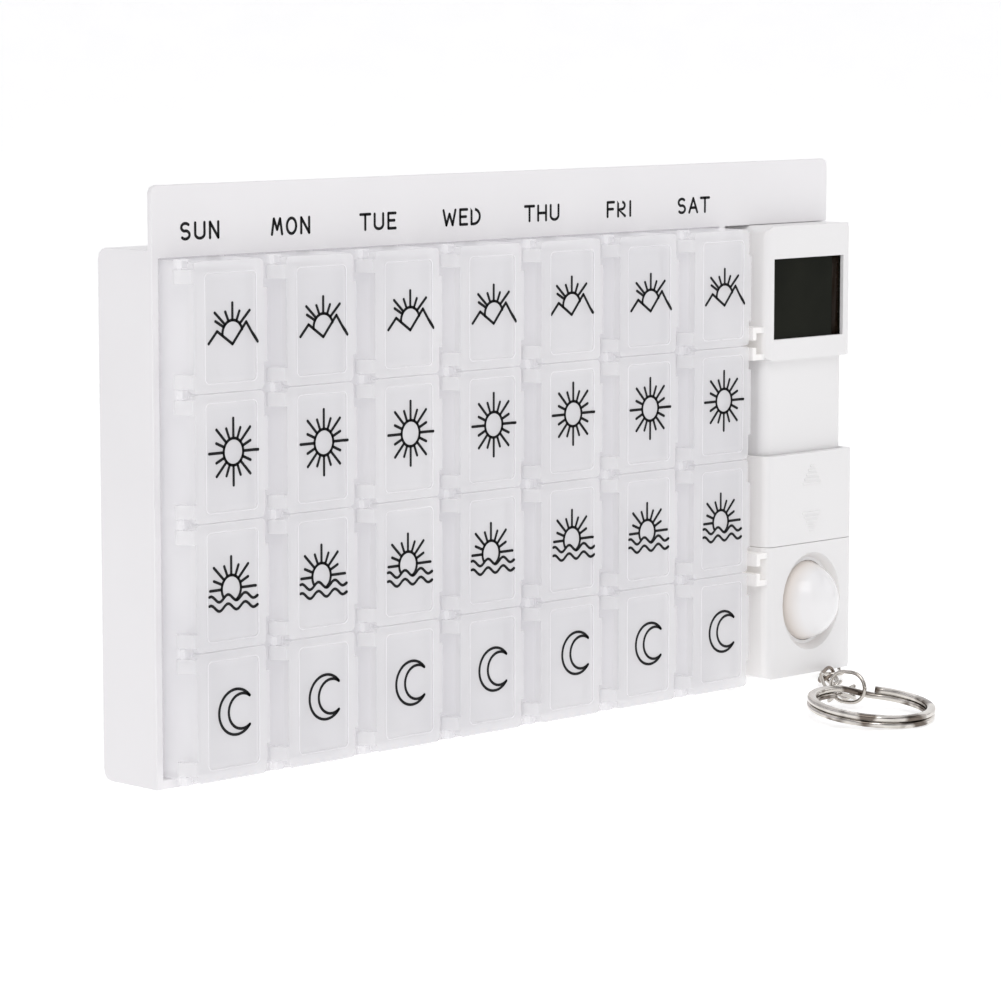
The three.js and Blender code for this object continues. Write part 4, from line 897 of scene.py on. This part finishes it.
# %% Jump ring
JUMP_LENGTH, JUMP_HEIGHT, HOOK_ALONG, HOOK_BELOW = 8.7, 7.2, 2.96, 2.4
jump_along = pointing(-76)
last_hook = hooks[-1] - pointing(LINK_HEADINGS[-1]) * HOOK
jump_centre = last_hook + jump_along * HOOK_ALONG + np.array([0, 0, HOOK_BELOW])
jump_half = jump_along * (JUMP_LENGTH / 2 - WIRE)
jump_path, jump_tops = link_path(
    jump_centre - jump_half, jump_centre + jump_half, JUMP_HEIGHT, 90, 90, 16, 6)
jump = carried("jump_wire", jump_path, jump_tops, round_wire, True)
dress(jump, "jump_ring", nickel, ["jump_ring"])
print("jump ring centre", np.round(jump_centre, 1))

# %% [markdown]
# ## Key ring
# A split ring is flat wire wound almost twice. The path runs round the axis and, over a short crossing,
# eases from the upper coil down to the lower one by the smooth step 3t squared minus 2t cubed. The ring
# leans on the table with one side up on the jump ring.

# %% Key ring
RING_X, RING_Y, RING_LIFT, RING_HALF_HEIGHT = 57.2, -54.2, 0.05, 1.21
RING_OUTER, RING_WIDE, RING_HIGH, RING_GAP = 13.3, 1.9, 1.25, 0.1
RING_START, SECTION_SHARPNESS = math.radians(36), 0.62
tilt = math.radians(6.3)
ring_axis = np.array([0, -math.sin(tilt), math.cos(tilt)])
ring_side = np.array([1.0, 0, 0])
ring_front = np.cross(ring_axis, ring_side)
ring_z = RING_LIFT + RING_HALF_HEIGHT * ring_axis[2] - RING_OUTER * ring_axis[1]
ring_centre = np.array([RING_X, RING_Y, ring_z])
crossing = math.radians(42)
wound = np.linspace(0, 4 * math.pi - crossing, 230)
into = np.clip((wound - (2 * math.pi - crossing)) / crossing, 0, 1)
level = (RING_HIGH + RING_GAP) / 2 * (1 - 2 * (3 * into ** 2 - 2 * into ** 3))
angle = RING_START - wound
ring_path = (ring_centre + (RING_OUTER - RING_WIDE / 2) * (
    ring_side * np.cos(angle)[:, None] + ring_front * np.sin(angle)[:, None]) + ring_axis * level[:, None])
around = np.linspace(0, 2 * np.pi, 20, endpoint=False)
ring_section = np.column_stack([
    RING_WIDE / 2 * np.sign(np.cos(around)) * np.abs(np.cos(around)) ** SECTION_SHARPNESS,
    RING_HIGH / 2 * np.sign(np.sin(around)) * np.abs(np.sin(around)) ** SECTION_SHARPNESS])
ring_tops = np.repeat(ring_axis[None, :], len(ring_path), axis=0)
ring = carried("key_ring_wire", ring_path, ring_tops, ring_section, False)
dress(ring, "key_ring", ring_nickel, ["key_ring"])
print("key ring centre", np.round(ring_centre, 1))
